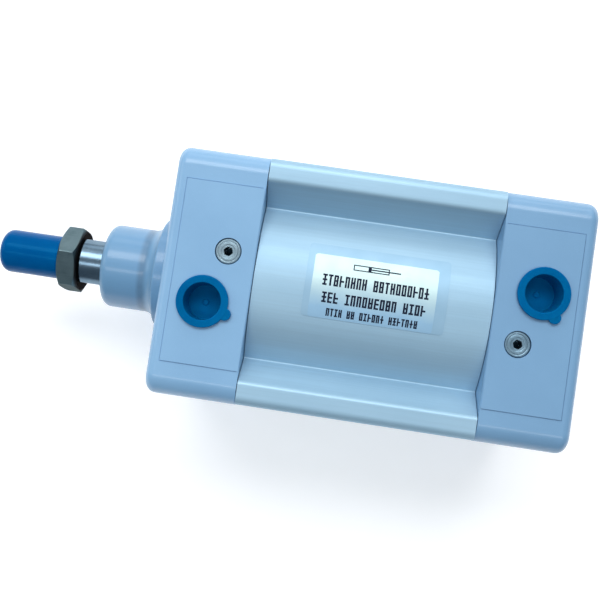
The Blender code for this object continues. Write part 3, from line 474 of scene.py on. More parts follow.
def brushed_metal(
    name, colour, light, roughness, spacing, axis, centre, relief=0.01 * MM, socket_shade_radius=0,
    shaded_from=None, **extra
):
    """Turned metal with tool rings around an axis, and dark with grease up to a radius from it.
    It can be painted dark brown from a station along X onwards (painted shade)."""
    made, tree, surface, shade, _, bump = material(
        name, colour, light, roughness, 0.4 * MM, 0.002 * MM, size=6 * MM, Metallic=0.95, **extra
    )
    rings = rings_of(tree, place_of(tree, centre), axis, spacing)
    add_relief(tree, bump, rings, relief)
    finish = tint(tree, spread(tree, rings, 0, 0.35, 0, 1), shade, light)
    if socket_shade_radius:
        # Painted shade: dark within a radius of the axis, over the socket.
        flat = place_of(tree, centre, (1, 1, 0))
        away = node(tree, "ShaderNodeVectorMath", {0: flat}, operation="LENGTH").outputs["Value"]
        share = spread(tree, away, 1, 0, socket_shade_radius - 0.1 * MM, socket_shade_radius + 0.1 * MM)
        finish = tint(tree, share, finish, (0.01, 0.024, 0.036))
    if shaded_from is not None:
        # Painted shade: dark brown from a station along X onwards.
        past = along_axis(tree, 0, (shaded_from, 0, 0))
        share = spread(tree, past, 0, 0.9, -0.4 * MM, 0.4 * MM)
        finish = tint(tree, share, finish, (0.035, 0.028, 0.028))
    tree.links.new(finish, surface.inputs["Base Color"])
    return made


def soft_plastic(name, colour, light, roughness, weight, radius):
    """Moulded soft plastic that lets a little light through."""
    made, tree, surface, _, _, bump = material(
        name, colour, light, roughness, 0.8 * MM, 0.008 * MM, size=12 * MM,
        Subsurface_Weight=weight, Subsurface_Scale=radius, Specular_IOR_Level=0.14,
        Specular_Tint=(0.04, 0.6, 1, 1),
    )
    surface.inputs["Subsurface Radius"].default_value = (0.3, 0.7, 1.0)
    add_relief(tree, bump, speckle(tree, place_of(tree), 5 * MM, 2.0), 0.06 * MM)
    return made


def plain(name, colour, light, roughness, metallic=0.0, grain=0.6 * MM, relief=0.01 * MM):
    """A simpler finish, for pieces that are mostly out of sight."""
    return material(
        name, colour, light, roughness, grain, relief, size=10 * MM, Metallic=metallic
    )[0]


FRONT_PAINT = cover_paint(
    "cover_paint_front", (0.235, 0.445, 0.685), (0.262, 0.485, 0.73), FLARE_START
)
# The rear cover's paint is a darker copy of the front cover's paint: painted shade.
SHADED_REAR_PAINT = cover_paint("cover_paint_rear_shaded", (0.195, 0.375, 0.585), (0.212, 0.405, 0.625))
ANODISED = barrel_finish()
CHROME = brushed_metal(
    "ground_chrome", (0.145, 0.225, 0.3), (0.19, 0.28, 0.36), (0.2, 0.28), 0.12 * MM, "X",
    (0, 0, AXIS), 0.001 * MM,
)
# The nut is painted dark brown over its rear face, towards the boss: painted shade.
BURNISHED = brushed_metal(
    "burnished_nut", (0.125, 0.19, 0.215), (0.19, 0.27, 0.295), (0.32, 0.46), 0.35 * MM, "X",
    (0, 0, AXIS), 0.008 * MM, shaded_from=nut_high.x - 0.7 * MM,
    Specular_Tint=(0.3, 0.27, 0.25, 1),
)
# The rear needle screw's steel is a darker copy of the front one's: painted shade.
NEEDLE_STEEL = {
    end: brushed_metal(
        f"turned_steel_{end}", dark, light, (0.34, 0.46), 0.22 * MM,
        "Z", ENDS[end] @ NEEDLE, 0.012 * MM, 1.95 * MM,
    )
    for end, dark, light in (
        ("front", (0.19, 0.28, 0.34), (0.27, 0.37, 0.43)),
        ("rear", (0.15, 0.25, 0.33), (0.23, 0.35, 0.44)),
    )
}
ZINC = plain("zinc_plating", (0.5, 0.52, 0.52), (0.62, 0.63, 0.6), (0.26, 0.42), 0.95)
MACHINED = plain("machined_aluminium", (0.6, 0.62, 0.64), (0.7, 0.71, 0.73), (0.25, 0.4), 0.95)
BRONZE = plain("sintered_bronze", (0.38, 0.25, 0.12), (0.5, 0.34, 0.17), (0.45, 0.6), 0.8)
URETHANE = plain("urethane", (0.02, 0.045, 0.03), (0.035, 0.065, 0.045), (0.35, 0.5))
NITRILE = plain("nitrile", (0.012, 0.012, 0.013), (0.025, 0.025, 0.026), (0.5, 0.7))
ACETAL = plain("acetal", (0.7, 0.69, 0.62), (0.78, 0.77, 0.7), (0.4, 0.55))
MAGNET = plain("bonded_magnet", (0.035, 0.035, 0.04), (0.06, 0.06, 0.065), (0.5, 0.7), 0.3)
VINYL = soft_plastic("blue_vinyl", (0.0, 0.085, 0.28), (0.0, 0.105, 0.32), (0.12, 0.2), 0.1, 1 * MM)
POLYTHENE = soft_plastic(
    "blue_polythene", (0.0, 0.115, 0.31), (0.001, 0.14, 0.36), (0.3, 0.42), 0.3, 3 * MM
)
FILM = plain(
    "label_film", (0.29, 0.48, 0.635), (0.32, 0.51, 0.665), (0.44, 0.5), 0.4, 8 * MM, 0.001 * MM
)


def panel_finish():
    """The label's panel, white along its upper side as a painted highlight and fading to the barrel's
    blue along its lower side.
    """
    made, tree, surface, shade, _, _ = material(
        "label_panel", (0.55, 0.73, 0.745), (0.6, 0.77, 0.77), (0.44, 0.5), 8 * MM, 0.001 * MM,
        size=10 * MM, Metallic=0.4,
    )
    # Painted highlight: white along the upper side, fading to the barrel's blue along the lower side.
    wavy = spread(tree, speckle(tree, place_of(tree), 14 * MM), -1.5 * MM, 1.5 * MM)
    edge = plus(tree, along_axis(tree, 1), wavy)
    clear = spread(tree, edge, 1, 0, -8 * MM, 6 * MM)
    barrel_blue = (0.3, 0.51, 0.7)
    tree.links.new(tint(tree, clear, shade, barrel_blue), surface.inputs["Base Color"])
    return made


PANEL = panel_finish()
INK = material(
    "label_ink", (0.006, 0.012, 0.03), (0.012, 0.02, 0.045), (0.6, 0.75), 0.6 * MM, 0.01 * MM,
    size=10 * MM, Specular_IOR_Level=0.15,
)[0]

SLOT_FINISH = {
    "machined_aluminium": MACHINED,
    "zinc_steel": ZINC,
    "bush_bronze": BRONZE,
    "polyurethane": URETHANE,
    "nitrile": NITRILE,
    "acetal": ACETAL,
    "magnet": MAGNET,
}


def finish_hidden_nodes():
    """The inner pieces keep their CAD shape and take the finish of their slot."""
    for part in frame["record"]["subparts"]:
        finish = SLOT_FINISH.get(part["material_slot"])
        shown = frame["nodes"][part["node"]]
        if finish and not shown.hide_render:
            shown.data.materials.clear()
            shown.data.materials.append(finish)


# ---------------------------------------------------------------- end covers

LONG_EDGE = 9 * MM  # roundings of the casting
OUTER_EDGE = 4.5 * MM
INNER_EDGE = 0.2 * MM
PAD_RISE = 0.4 * MM  # the machined pad around the port
PAD_GROOVE = 0.3 * MM
PAD_INSET = 5.8 * MM
PAD_HALF_WIDTH = 40.7 * MM
SPIGOT_RADIUS = 49.6 * MM
SPIGOT_END = COVER + 8 * MM
CHAMBER_RADIUS = 23 * MM
CHAMBER_START = 12 * MM
SEAL_LIP_RADIUS = 20.5 * MM
BOSS_RADIUS = 21 * MM
COLLAR_RADIUS = 27.5 * MM
COLLAR_LENGTH = 10 * MM
BOSS_LENGTH = 38 * MM
WIPER_BORE = 17.6 * MM
WIPER_DEPTH = 9 * MM
BUSH_BORE = 14.9 * MM
SCREW_HOLE = SCREW_RADIUS + 0.4 * MM
SCREW_SEAT = 22.3 * MM
SCREW_SHANK_HOLE = 5.2 * MM
RECESS_DEPTH = 4 * MM
PORT_RADIUS = 9.3 * MM
PORT_BOTTOM = 8 * MM
NEEDLE_BORE = NEEDLE_RADIUS + 0.2 * MM
NEEDLE_BORE_BOTTOM = 33 * MM
SEAT_RADIUS = 2.2 * MM
BLEED_RADIUS = 2 * MM
BLEED_HEIGHT = 35.5 * MM


def cover_block(name, place):
    """The square casting, rounded along its long edges and around its outer face."""
    bm = box_mesh((0, -HALF, -HALF), (COVER, HALF, HALF - PAD_RISE))
    lengthwise = [e for e in bm.edges if abs(e.verts[0].co.x - e.verts[1].co.x) > ROOT]
    bevel_edges(bm, lengthwise, LONG_EDGE, 14)
    outer = [e for e in bm.edges if all(v.co.x < GAP for v in e.verts)]
    bevel_edges(bm, outer, OUTER_EDGE, 8)
    inner = [e for e in bm.edges if all(v.co.x > COVER - GAP for v in e.verts)]
    bevel_edges(bm, inner, INNER_EDGE, 2)
    return object_from(name, bm, place)


def pad_groove(place):
    """A pocket a little larger than the pad, which leaves a fine groove around its foot."""
    across = PAD_HALF_WIDTH + PAD_GROOVE
    low = (PAD_INSET - PAD_GROOVE, -across, HALF - PAD_RISE - PAD_GROOVE)
    return block("groove", low, (COVER - BEYOND, across, HALF + BEYOND), place)


def machined_pad(place):
    """The flat around the port and the cushion screw, a little above the casting."""
    low = (PAD_INSET, -PAD_HALF_WIDTH, HALF - ROOT)
    bm = box_mesh(low, (COVER - GAP, PAD_HALF_WIDTH, HALF))
    top = [e for e in bm.edges if all(v.co.z > HALF - GAP for v in e.verts)]
    bevel_edges(bm, top, 0.12 * MM, 2)
    return object_from("pad", bm, place)


def cover_tools(place):
    """What is cut from both covers: chamber, port, screw holes, and the cushion screw's bore and
    bleed passage."""
    chamber = [
        (CHAMBER_START, 0),
        (CHAMBER_START, CHAMBER_RADIUS),
        (COVER + ROOT, CHAMBER_RADIUS),
        (COVER + ROOT, SEAL_LIP_RADIUS),
        (SPIGOT_END + BEYOND, SEAL_LIP_RADIUS),
        (SPIGOT_END + BEYOND, 0),
    ]
    mouth, pitch, thread_end = 1.4 * MM, 1.8 * MM, HALF - 16 * MM
    port = [
        (HALF + BEYOND, 0),
        (HALF + BEYOND, PORT_RADIUS + mouth),
        (HALF - 0.2 * MM, PORT_RADIUS + mouth),
        (HALF - mouth, PORT_RADIUS),
        *[(z, PORT_RADIUS) for z in stations(HALF - 1.5 * mouth, thread_end, pitch)],
        (PORT_BOTTOM, PORT_RADIUS - 0.4 * MM),
        (PORT_BOTTOM, 0),
    ]
    port_thread = thread(thread_end, HALF - mouth, pitch, 0.8 * MM, inner=True)
    chamfer = 0.08 * MM
    bore = [
        (HALF + BEYOND, 0),
        (HALF + BEYOND, NEEDLE_BORE + chamfer),
        (HALF, NEEDLE_BORE + chamfer),
        (HALF - chamfer, NEEDLE_BORE),
        (NEEDLE_BORE_BOTTOM, NEEDLE_BORE),
        (NEEDLE_BORE_BOTTOM, SEAT_RADIUS),
        (CHAMBER_RADIUS / 2, SEAT_RADIUS),
        (CHAMBER_RADIUS / 2, 0),
    ]
    bleed = [(NEEDLE.x, 0), (NEEDLE.x, BLEED_RADIUS), (SPIGOT_END + BEYOND, BLEED_RADIUS),
             (SPIGOT_END + BEYOND, 0)]
    bleed_place = Matrix.Translation((0, NEEDLE.y, BLEED_HEIGHT)) @ ALONG_X
    hole = [
        (-BEYOND, 0),
        (-BEYOND, SCREW_HOLE + 0.4 * MM),
        (0, SCREW_HOLE + 0.4 * MM),
        (0.4 * MM, SCREW_HOLE),
        (SCREW_SEAT, SCREW_HOLE),
        (SCREW_SEAT, SCREW_SHANK_HOLE),
        (COVER + BEYOND, SCREW_SHANK_HOLE),
        (COVER + BEYOND, 0),
    ]
    tools = [
        turned("chamber", chamber, place @ ALONG_X),
        turned("port", port, place @ Matrix.Translation(PORT), offset=port_thread),
        turned("bore", bore, place @ Matrix.Translation(NEEDLE)),
        turned("bleed", bleed, place @ bleed_place, SMALL),
    ]
    for y, z in screw_places():
        tools.append(turned("hole", hole, place @ Matrix.Translation((0, y, z)) @ ALONG_X, SMALL))
    return tools


def screw_places():
    """The four corners of the screw pattern, as Y and Z from the rod's axis."""
    return [(y * SCREW_PLACE, z * SCREW_PLACE) for y, z in ((1, 1), (-1, 1), (-1, -1), (1, -1))]


def spigot(place):
    """The cover's round nose inside the barrel."""
    outline = [(COVER - ROOT, 0), (COVER - ROOT, SPIGOT_RADIUS), (SPIGOT_END, SPIGOT_RADIUS),
               (SPIGOT_END, 0)]
    return turned("spigot", outline, place @ ALONG_X)


def front_cover():
    """The cover with the rod's boss, which flares through a fillet into the centring collar."""
    place = ENDS["front"]
    cover = cover_block("front_cover_casting", place)
    root, collar_rim, rim, flare = 3 * MM, 1 * MM, 4 * MM, 6.5 * MM
    boss = [
        (root, 0),
        (root, COLLAR_RADIUS),
        *arc((collar_rim - COLLAR_LENGTH, COLLAR_RADIUS - collar_rim), collar_rim, 90, 180, 5),
        *arc((-COLLAR_LENGTH - flare, BOSS_RADIUS + flare), flare, -10, -90, 14),
        *arc((rim - BOSS_LENGTH, BOSS_RADIUS - rim), rim, 90, 180, 12),
        (-BOSS_LENGTH, 0),
    ]
    carve(cover, "DIFFERENCE", [pad_groove(place)])
    carve(cover, "UNION", [spigot(place), machined_pad(place),
                           turned("boss", boss, place @ ALONG_X, FINE)])
    wiper_seat, chamfer = WIPER_DEPTH - BOSS_LENGTH, 0.3 * MM
    bore = [
        (CHAMBER_START + ROOT, 0),
        (CHAMBER_START + ROOT, BUSH_BORE),
        (wiper_seat, BUSH_BORE),
        (wiper_seat, WIPER_BORE),
        (chamfer - BOSS_LENGTH, WIPER_BORE),
        (-BOSS_LENGTH, WIPER_BORE + chamfer),
        (-BOSS_LENGTH - BEYOND, WIPER_BORE + chamfer),
        (-BOSS_LENGTH - BEYOND, 0),
    ]
    carve(cover, "DIFFERENCE", [*cover_tools(place), turned("bore", bore, place @ ALONG_X)])
    show(cover, FRONT_PAINT, "housing", "cover_paint", "front_cover")


def rear_cover():
    """The cover without a boss, whose outer face has a recess of the collar's size."""
    place = ENDS["rear"]
    cover = cover_block("rear_cover_casting", place)
    chamfer = 0.5 * MM
    recess = [
        (-BEYOND, 0),
        (-BEYOND, COLLAR_RADIUS + chamfer),
        (0, COLLAR_RADIUS + chamfer),
        (chamfer, COLLAR_RADIUS),
        (RECESS_DEPTH, COLLAR_RADIUS),
        (RECESS_DEPTH, 0),
    ]
    carve(cover, "DIFFERENCE", [pad_groove(place)])
    carve(cover, "UNION", [spigot(place), machined_pad(place)])
    recess_tool = turned("recess", recess, place @ ALONG_X, FINE)
    carve(cover, "DIFFERENCE", [*cover_tools(place), recess_tool])
    show(cover, SHADED_REAR_PAINT, "housing", "cover_paint", "rear_cover")


def rod_wiper():
    """The soft ring at the boss's rim, with its lip on the rod."""
    rim = -BOSS_LENGTH
    seat, outer, inner = rim + WIPER_DEPTH - GAP, WIPER_BORE - GAP, ROD_RADIUS + GAP
    outline = [
        (seat, outer),
        (rim + 1 * MM, outer),
        (rim + 0.4 * MM, outer - 0.6 * MM),
        (rim + 0.4 * MM, inner + 2 * MM),
        (rim - 0.5 * MM, inner + 0.7 * MM),
        (rim - 0.5 * MM, inner),
        (rim + 2 * MM, inner + 0.8 * MM),
        (seat - 2.5 * MM, inner + 0.8 * MM),
        (seat, inner),
    ]
    outline = soften(outline, 0.3 * MM, 3, closed=True)
    wiper = turned("rod_wiper", outline, ENDS["front"] @ ALONG_X)
    show(wiper, URETHANE, "housing", "polyurethane", "rod_wiper_seal")


# ---------------------------------------------------------------- screws and plugs


def cover_screws():
    """Collar-head screws, each with an M10 thread and a hexagon socket inside its head."""
    start, head_end, length = 1 * MM, 22 * MM, 62 * MM
    hole, hole_end, shank = 4.2 * MM, 16 * MM, 4.4 * MM
    pitch, chamfer = 1.5 * MM, 0.8 * MM
    inside = [(x, hole) for x in stations(hole_end - 0.5 * MM, start + 1 * MM, pitch)]
    outline = [
        (hole_end, 0),
        (hole_end, hole - 0.3 * MM),
        *inside,
        (start, hole + 0.9 * MM),
        (start, SCREW_RADIUS - chamfer),
        (start + chamfer, SCREW_RADIUS),
        (head_end, SCREW_RADIUS),
        (head_end, shank),
        (length - 1 * MM, shank),
        (length, shank - 1 * MM),
        (length, 0),
    ]
    offset = thread(start + 0.9 * MM, hole_end - 0.4 * MM, pitch, pitch / 2, inner=True)
    screw = turned("screw", outline, Matrix(), SMALL, offset)
    socket = hexagon("socket", hole_end - 1 * MM, hole_end + 3 * MM, 6 * MM, Matrix())
    carve(screw, "DIFFERENCE", [socket])
    for end, place in ENDS.items():
        for number, (y, z) in enumerate(screw_places(), 1):
            copy = bpy.data.objects.new(f"{end}_collar_screw_{number}", screw.data.copy())
            bpy.context.scene.collection.objects.link(copy)
            copy.matrix_world = place @ Matrix.Translation((0, y, z)) @ ALONG_X
            show(copy, ZINC, "housing", "zinc_steel", f"{end}_cover_screw_{number}")
    bpy.data.objects.remove(screw)


def cushion_screw(end):
    """The needle screw: a turned head with a fine groove and a hexagon socket, the groove of its
    O-ring, and a needle that enters its seat."""
    top, tip = HALF - 0.2 * MM, 34.6 * MM
    ring_start, ring_end, head_end = top - 5.2 * MM, top - 8.2 * MM, top - 13.8 * MM
    neck, needle, needle_start = NEEDLE_RADIUS - 1.9 * MM, 1.9 * MM, tip + 4.4 * MM
    outline = [
        (top - 0.15 * MM, 0),
        (top - 0.15 * MM, 2.9 * MM),
        (top, 3.1 * MM),
        (top, NEEDLE_RADIUS - 1.5 * MM),
        (top - 0.12 * MM, NEEDLE_RADIUS - 1.35 * MM),
        (top - 0.12 * MM, NEEDLE_RADIUS - 1.2 * MM),
        (top, NEEDLE_RADIUS - 1 * MM),
        (top, NEEDLE_RADIUS - 0.4 * MM),
        (top - 0.3 * MM, NEEDLE_RADIUS),
        (ring_start, NEEDLE_RADIUS),
        (ring_start, neck),
        (ring_end, neck),
        (ring_end, NEEDLE_RADIUS),
        (head_end, NEEDLE_RADIUS),
        (head_end - 1 * MM, neck),
        (needle_start, neck - 1 * MM),
        (needle_start, needle),
        (tip + 2 * MM, needle),
        (tip, 0.9 * MM),
        (tip, 0),
    ]
    place = ENDS[end] @ Matrix.Translation(NEEDLE)
    screw = turned(f"{end}_needle_screw", soften(outline, 0.15 * MM, 2), place)
    key = hexagon("key", top - 7.5 * MM, top + BEYOND, 3.8 * MM, place, 0.3)
    carve(screw, "DIFFERENCE", [key])
    show(screw, NEEDLE_STEEL[end], f"{end}_needle", "zinc_steel", f"{end}_cushion_screw")


def port_plug(end, lug_angle):
    """A soft plug: a thin cup in the port, a flange on the pad and a lug to pull it by."""
    under = HALF + GAP
    top = under + 1.6 * MM
    foot = under - 12 * MM
    mouth = PORT_RADIUS - GAP
    wall, taper = 0.7 * MM, 0.4 * MM
    outline = [
        (foot, 0),
        (foot, mouth - taper - 0.6 * MM),
        (foot + 0.6 * MM, mouth - taper),
        (under, mouth),
        (under, FLANGE_RADIUS),
        (top, FLANGE_RADIUS),
        (top, mouth - wall),
        (foot + 1 * MM, mouth - wall - taper),
        (foot + 1 * MM, 1.5 * MM),
        (foot + 1.7 * MM, 1.2 * MM),
        (foot + 1.7 * MM, 0),
    ]
    place = ENDS[end] @ Matrix.Translation(PORT)
    plug = turned(f"{end}_plug", soften(outline, 0.45 * MM, 4), place)
    lug_low, lug_high, lug_radius = under + 0.1 * MM, top - 0.1 * MM, 2.8 * MM
    lug_reach = 11.4 * MM
    aside = Vector((math.cos(lug_angle), math.sin(lug_angle), 0)) * lug_reach
    lug = [(lug_low, 0), (lug_low, lug_radius), (lug_high, lug_radius), (lug_high, 0)]
    lug = soften(lug, 0.45 * MM)
    carve(plug, "UNION", [turned("lug", lug, place @ Matrix.Translation(aside), SMALL)])
    show(plug, POLYTHENE, f"{end}_plug", "plug_polyethylene", f"{end}_port_plug")


# ---------------------------------------------------------------- barrel and label

BARREL_RADIUS = 55 * MM
BORE_RADIUS = 50 * MM
VALLEY = math.radians(39)  # where the round side meets an ear, from the middle of the side
VALLEY_RUN = 1.6  # degrees of the round side taken up by the small fillet at an ear's foot
CREST_INSET = 10.3 * MM
CHANNEL_RADIUS = 4.7 * MM


def profile_quarter():
    """The barrel's outline from the middle of one side, over an ear, to the next side."""
    edge = BARREL_HALF_WIDTH
    crest, corner, far_crest = (edge, edge - CREST_INSET), (edge, edge), (edge - CREST_INSET, edge)
    valley = (BARREL_RADIUS * math.cos(VALLEY), BARREL_RADIUS * math.sin(VALLEY))
    side = arc((0, 0), BARREL_RADIUS, 0, math.degrees(VALLEY) - VALLEY_RUN, 40)
    foot = soften([side[-1], valley, crest], 1.2 * MM, 8)[1:-1]
    top = soften([valley, crest, corner], 3 * MM, 10)[1:-1]
    nose = soften([crest, corner, far_crest], 8 * MM, 20)[1:-1]
    half = [*side, *foot, *top]
    return [*half, *nose, *[(y, x) for x, y in reversed(half)][:-1]]


def barrel():
    """The extrusion: a filled outline with the bore and four screw channels left open."""
    quarter = profile_quarter()
    outline = []
    for turn in range(4):
        c, s = round(math.cos(turn * math.pi / 2)), round(math.sin(turn * math.pi / 2))
        outline += [(c * x - s * y, s * x + c * y) for x, y in quarter]
    curve = bpy.data.curves.new("outline", "CURVE")
    curve.dimensions = "2D"
    curve.fill_mode = "BOTH"
    curve.extrude = (barrel_high.x - barrel_low.x) / 2
    loops = [outline, arc((0, 0), BORE_RADIUS, 0, 360, FINE)[:-1]]
    loops += [arc(place, CHANNEL_RADIUS, 0, 360, 32)[:-1] for place in screw_places()]
    for points in loops:
        spline = curve.splines.new("POLY")
        spline.points.add(len(points) - 1)
        for point, (x, y) in zip(spline.points, points):
            point.co = (x, y, 0, 1)
        spline.use_cyclic_u = True
    guide = bpy.data.objects.new("guide", curve)
    bpy.context.scene.collection.objects.link(guide)
    bpy.context.view_layer.update()
    bm = bmesh.new()
    bm.from_mesh(evaluated_mesh(guide))
    bpy.data.objects.remove(guide)
    bmesh.ops.remove_doubles(bm, verts=bm.verts, dist=MERGE)
    tube = object_from("barrel_extrusion", bm, Matrix.Translation(MIDDLE) @ ALONG_X)
    show(tube, ANODISED, "housing", "barrel_anodised", "barrel_profile", angle=24)


FILM_RADIUS, FILM_THICKNESS = 55.2 * MM, 0.1 * MM
PANEL_RADIUS, PANEL_THICKNESS = 55.3 * MM, 0.06 * MM
PRINT_RADIUS, PRINT_THICKNESS = 55.36 * MM, 0.02 * MM
LABEL_LOW, PANEL_HIGH, LABEL_HIGH = (math.radians(a) for a in (-12.5, 17, 22))
# each row's middle and height in degrees, its width, the pitch of its marks, and the marks left out
PRINT_ROWS = (
    (5.2, 5.2, 47.5 * MM, 2.5 * MM, (8,)),
    (-2.8, 4.9, 46.2 * MM, 2.57 * MM, (3, 13)),
    (-9.4, 3.6, 40.7 * MM, 1.85 * MM, (4, 7, 14)),
)


def bent_patch(bm, start, end, low, high, radius, thickness, corner=0.0, rows=10):
    """A thin rectangle wrapped on the barrel: along X from start to end, between two angles."""
    reach = (high - low) * radius
    layers = []
    for lift in (0, thickness):
        grid = []
        for i in range(rows + 1):
            along = reach * i / rows
            near = max(0.0, min(along, reach - along))
            inset = 0.0
            if near < corner:
                inset = corner - math.sqrt(corner**2 - (corner - near) ** 2)
            angle = low + along / radius
            y, z = (radius + lift) * math.sin(angle), (radius + lift) * math.cos(angle)
            grid.append([bm.verts.new((x, y, AXIS + z)) for x in (start + inset, end - inset)])
        layers.append(grid)
    below, above = layers
    for i in range(rows):
        for grid in layers:
            bm.faces.new((grid[i][0], grid[i][1], grid[i + 1][1], grid[i + 1][0]))
        for side in (0, 1):
            bm.faces.new((below[i][side], below[i + 1][side], above[i + 1][side], above[i][side]))
    for i in (0, rows):
        bm.faces.new((below[i][0], below[i][1], above[i][1], above[i][0]))


def print_bar(bm, start, end, low, high):
    """One printed rectangle, between two stations and two angles in degrees."""
    low, high = math.radians(low), math.radians(high)
    bent_patch(bm, start, end, low, high, PRINT_RADIUS, PRINT_THICKNESS, 0, 3)


def print_mark(bm, start, width, centre, height):
    """A meaningless mark as large as a letter: a few strokes of a small grid."""
    stroke = 0.34 * width + 0.14 * MM
    rise = math.degrees(stroke / PRINT_RADIUS)
    low, high = centre - height / 2, centre + height / 2
    uprights = random.choice(((0, 1), (0,), (0, 1), (0.5,), (0, 1)))
    levels = random.choice(((0, 1), (0.5,), (0, 0.5), (1,), (0, 0.5, 1)))
    for share in uprights:
        x = start + share * (width - stroke)
        print_bar(bm, x, x + stroke, low, high)
    for share in levels:
        bottom = low + share * (high - low - rise)
        print_bar(bm, start, start + width, bottom, bottom + rise)


def label():
    """A clear film with a printed panel: a plain symbol of a cylinder over rows of marks that
    mean nothing."""
    start, end = label_low.x, label_high.x
    film = bmesh.new()
    bent_patch(
        film, start, end, LABEL_LOW, LABEL_HIGH, FILM_RADIUS, FILM_THICKNESS, 1.5 * MM, 60
    )
    bmesh.ops.recalc_face_normals(film, faces=film.faces)
    show(object_from("label_film", film), FILM, "housing", "label_film", "rating_label")
    panel = bmesh.new()
    inner_start, inner_end = start + 3 * MM, end - 5 * MM
    bent_patch(
        panel, inner_start, inner_end, LABEL_LOW, PANEL_HIGH, PANEL_RADIUS, PANEL_THICKNESS,
        1 * MM, 50,
    )
    bmesh.ops.recalc_face_normals(panel, faces=panel.faces)
    show(object_from("label_panel", panel), PANEL, "housing", "label_film")
    ink = bmesh.new()
    random.seed(11)
    middle = (inner_start + inner_end) / 2 + 0.8 * MM
    for centre, height, width, step, words in PRINT_ROWS:
        x = middle - width / 2
        for number in range(round(width / step)):
            if number not in words:
                print_mark(ink, x, step * 0.8, centre, height)
            x += step
    # left and right in millimetres, top and bottom in degrees
    symbol = ((-11, 5, 14, 13.5), (-11, 5, 11.7, 11.2), (-11, -10.5, 14, 11.2), (4.5, 5, 14, 11.2),
              (-4.4, -3, 14, 11.2), (-3, 10, 12.9, 12.3))
    for left, right, top, bottom in symbol:
        print_bar(ink, middle + left * MM, middle + right * MM, bottom, top)
    bmesh.ops.recalc_face_normals(ink, faces=ink.faces)
    show(object_from("label_print", ink), INK, "housing", "label_film")


# ---------------------------------------------------------------- rod end


def piston_rod():
    """One ground bar: rod thread, undercut, wrench flats, chromed rod and rear stub."""
    tip, shoulder, thread_radius = THREAD_TIP, SHOULDER, 9.85 * MM
    pitch, chamfer = 1.5 * MM, 0.8 * MM
    undercut, stub, stub_start = 8.9 * MM, 8 * MM, 96.4 * MM
    end = rod_high.x - FRONT_FACE
    outline = [
        (tip, 0),
        (tip, thread_radius - 1.4 * MM),
        *[(x, thread_radius) for x in stations(tip + 1.4 * MM, shoulder - 3.5 * MM, pitch)],
        (shoulder - 2.5 * MM, undercut),
        (shoulder, undercut),
        (shoulder, ROD_RADIUS - chamfer),
        (shoulder + chamfer, ROD_RADIUS),
        (stub_start, ROD_RADIUS),
        (stub_start, stub),
        (end - chamfer, stub),
        (end, stub - chamfer),
        (end, 0),
    ]
    offset = thread(tip + 0.5 * MM, shoulder - 3 * MM, pitch, 0.85 * MM)
    place = ENDS["front"] @ ALONG_X
    rod = turned("rod_bar", outline, place, FINE, offset)
    flat, beyond = 11 * MM, ROD_RADIUS + BEYOND
    first, last = shoulder - BEYOND, shoulder + 10.5 * MM
    carve(rod, "DIFFERENCE", [
        block("left", (first, flat, -beyond), (last, beyond, beyond), ENDS["front"]),
        block("right", (first, -beyond, -beyond), (last, -flat, beyond), ENDS["front"]),
    ])
    show(rod, CHROME, "rod_assembly", "rod_chrome", "piston_rod")


def lock_nut():
    """A chamfered hexagon nut with its thread, its corners just broken."""
    start, finish = nut_low.x - FRONT_FACE, nut_high.x - FRONT_FACE
    across = 30 * MM
    corner, face = across / math.sqrt(3), across / 2 * 0.96  # reach of its corners and end faces
    slope = (corner - face) * math.tan(math.radians(30))
    place = ENDS["front"] @ ALONG_X
    nut = hexagon("nut_body", start, finish, across, place, math.radians(21))
    envelope = [
        (start, 0),
        (start, face),
        (start + slope, corner + 0.1 * MM),
        (finish - slope, corner + 0.1 * MM),
        (finish, face),
        (finish, 0),
    ]
    hole, mouth, pitch = 10.2 * MM, 0.9 * MM, 1.5 * MM
    bore = [
        (start - BEYOND, 0),
        (start - BEYOND, hole + mouth + BEYOND),
        (start + mouth, hole),
        *[(x, hole) for x in stations(start + 1.2 * mouth, finish - 1.2 * mouth, pitch)],
        (finish - mouth, hole),
        (finish + BEYOND, hole + mouth + BEYOND),
        (finish + BEYOND, 0),
    ]
    soft_corners(nut, 0.35 * MM, 3)
    carve(nut, "INTERSECT", [turned("envelope", envelope, place, FINE)])
    offset = thread(start + mouth, finish - mouth, pitch, 0.4 * MM, inner=True)
    carve(nut, "DIFFERENCE", [turned("bore", bore, place, ROUND, offset)])
    show(nut, BURNISHED, "lock_nut", "burnished_steel", "rod_lock_nut", angle=20)


def thread_cap():
    """The vinyl cap: soft tip with a gate mark, rolled mouth, and a slightly uneven wall."""
    tip, mouth = CAP_TIP, cap_high.x - FRONT_FACE
    inner, inner_end, round_tip = 10.25 * MM, THREAD_TIP - 0.5 * MM, 4.5 * MM
    unevenness = 0.06 * MM
    outside = [(mouth, CAP_RADIUS)]
    wall = stations(mouth - 0.6 * MM, tip + round_tip, 12 * MM)
    outside += [(x, CAP_RADIUS) for x in wall]
    outside += arc((tip + round_tip, CAP_RADIUS - round_tip), round_tip, 96, 180, 14)
    outline = [
        (inner_end, 0),
        (inner_end, inner - 1 * MM),
        (inner_end + 1 * MM, inner),
        (mouth, inner),
        *outside,
        (tip, 1.3 * MM),
        (tip + 0.25 * MM, 1.1 * MM),
        (tip + 0.25 * MM, 0),
    ]

    def uneven(station, angle):
        way = Vector((station * 60, math.cos(angle), math.sin(angle)))
        return -unevenness * (1 + noise.noise(way * 1.3))

    cap = turned("vinyl_cap", soften(outline, 0.3 * MM, 3), ENDS["front"] @ ALONG_X, ROUND, uneven)
    show(cap, VINYL, "thread_cap", "cap_vinyl", "rod_thread_cap", angle=40)


# ---------------------------------------------------------------- floor, light and camera


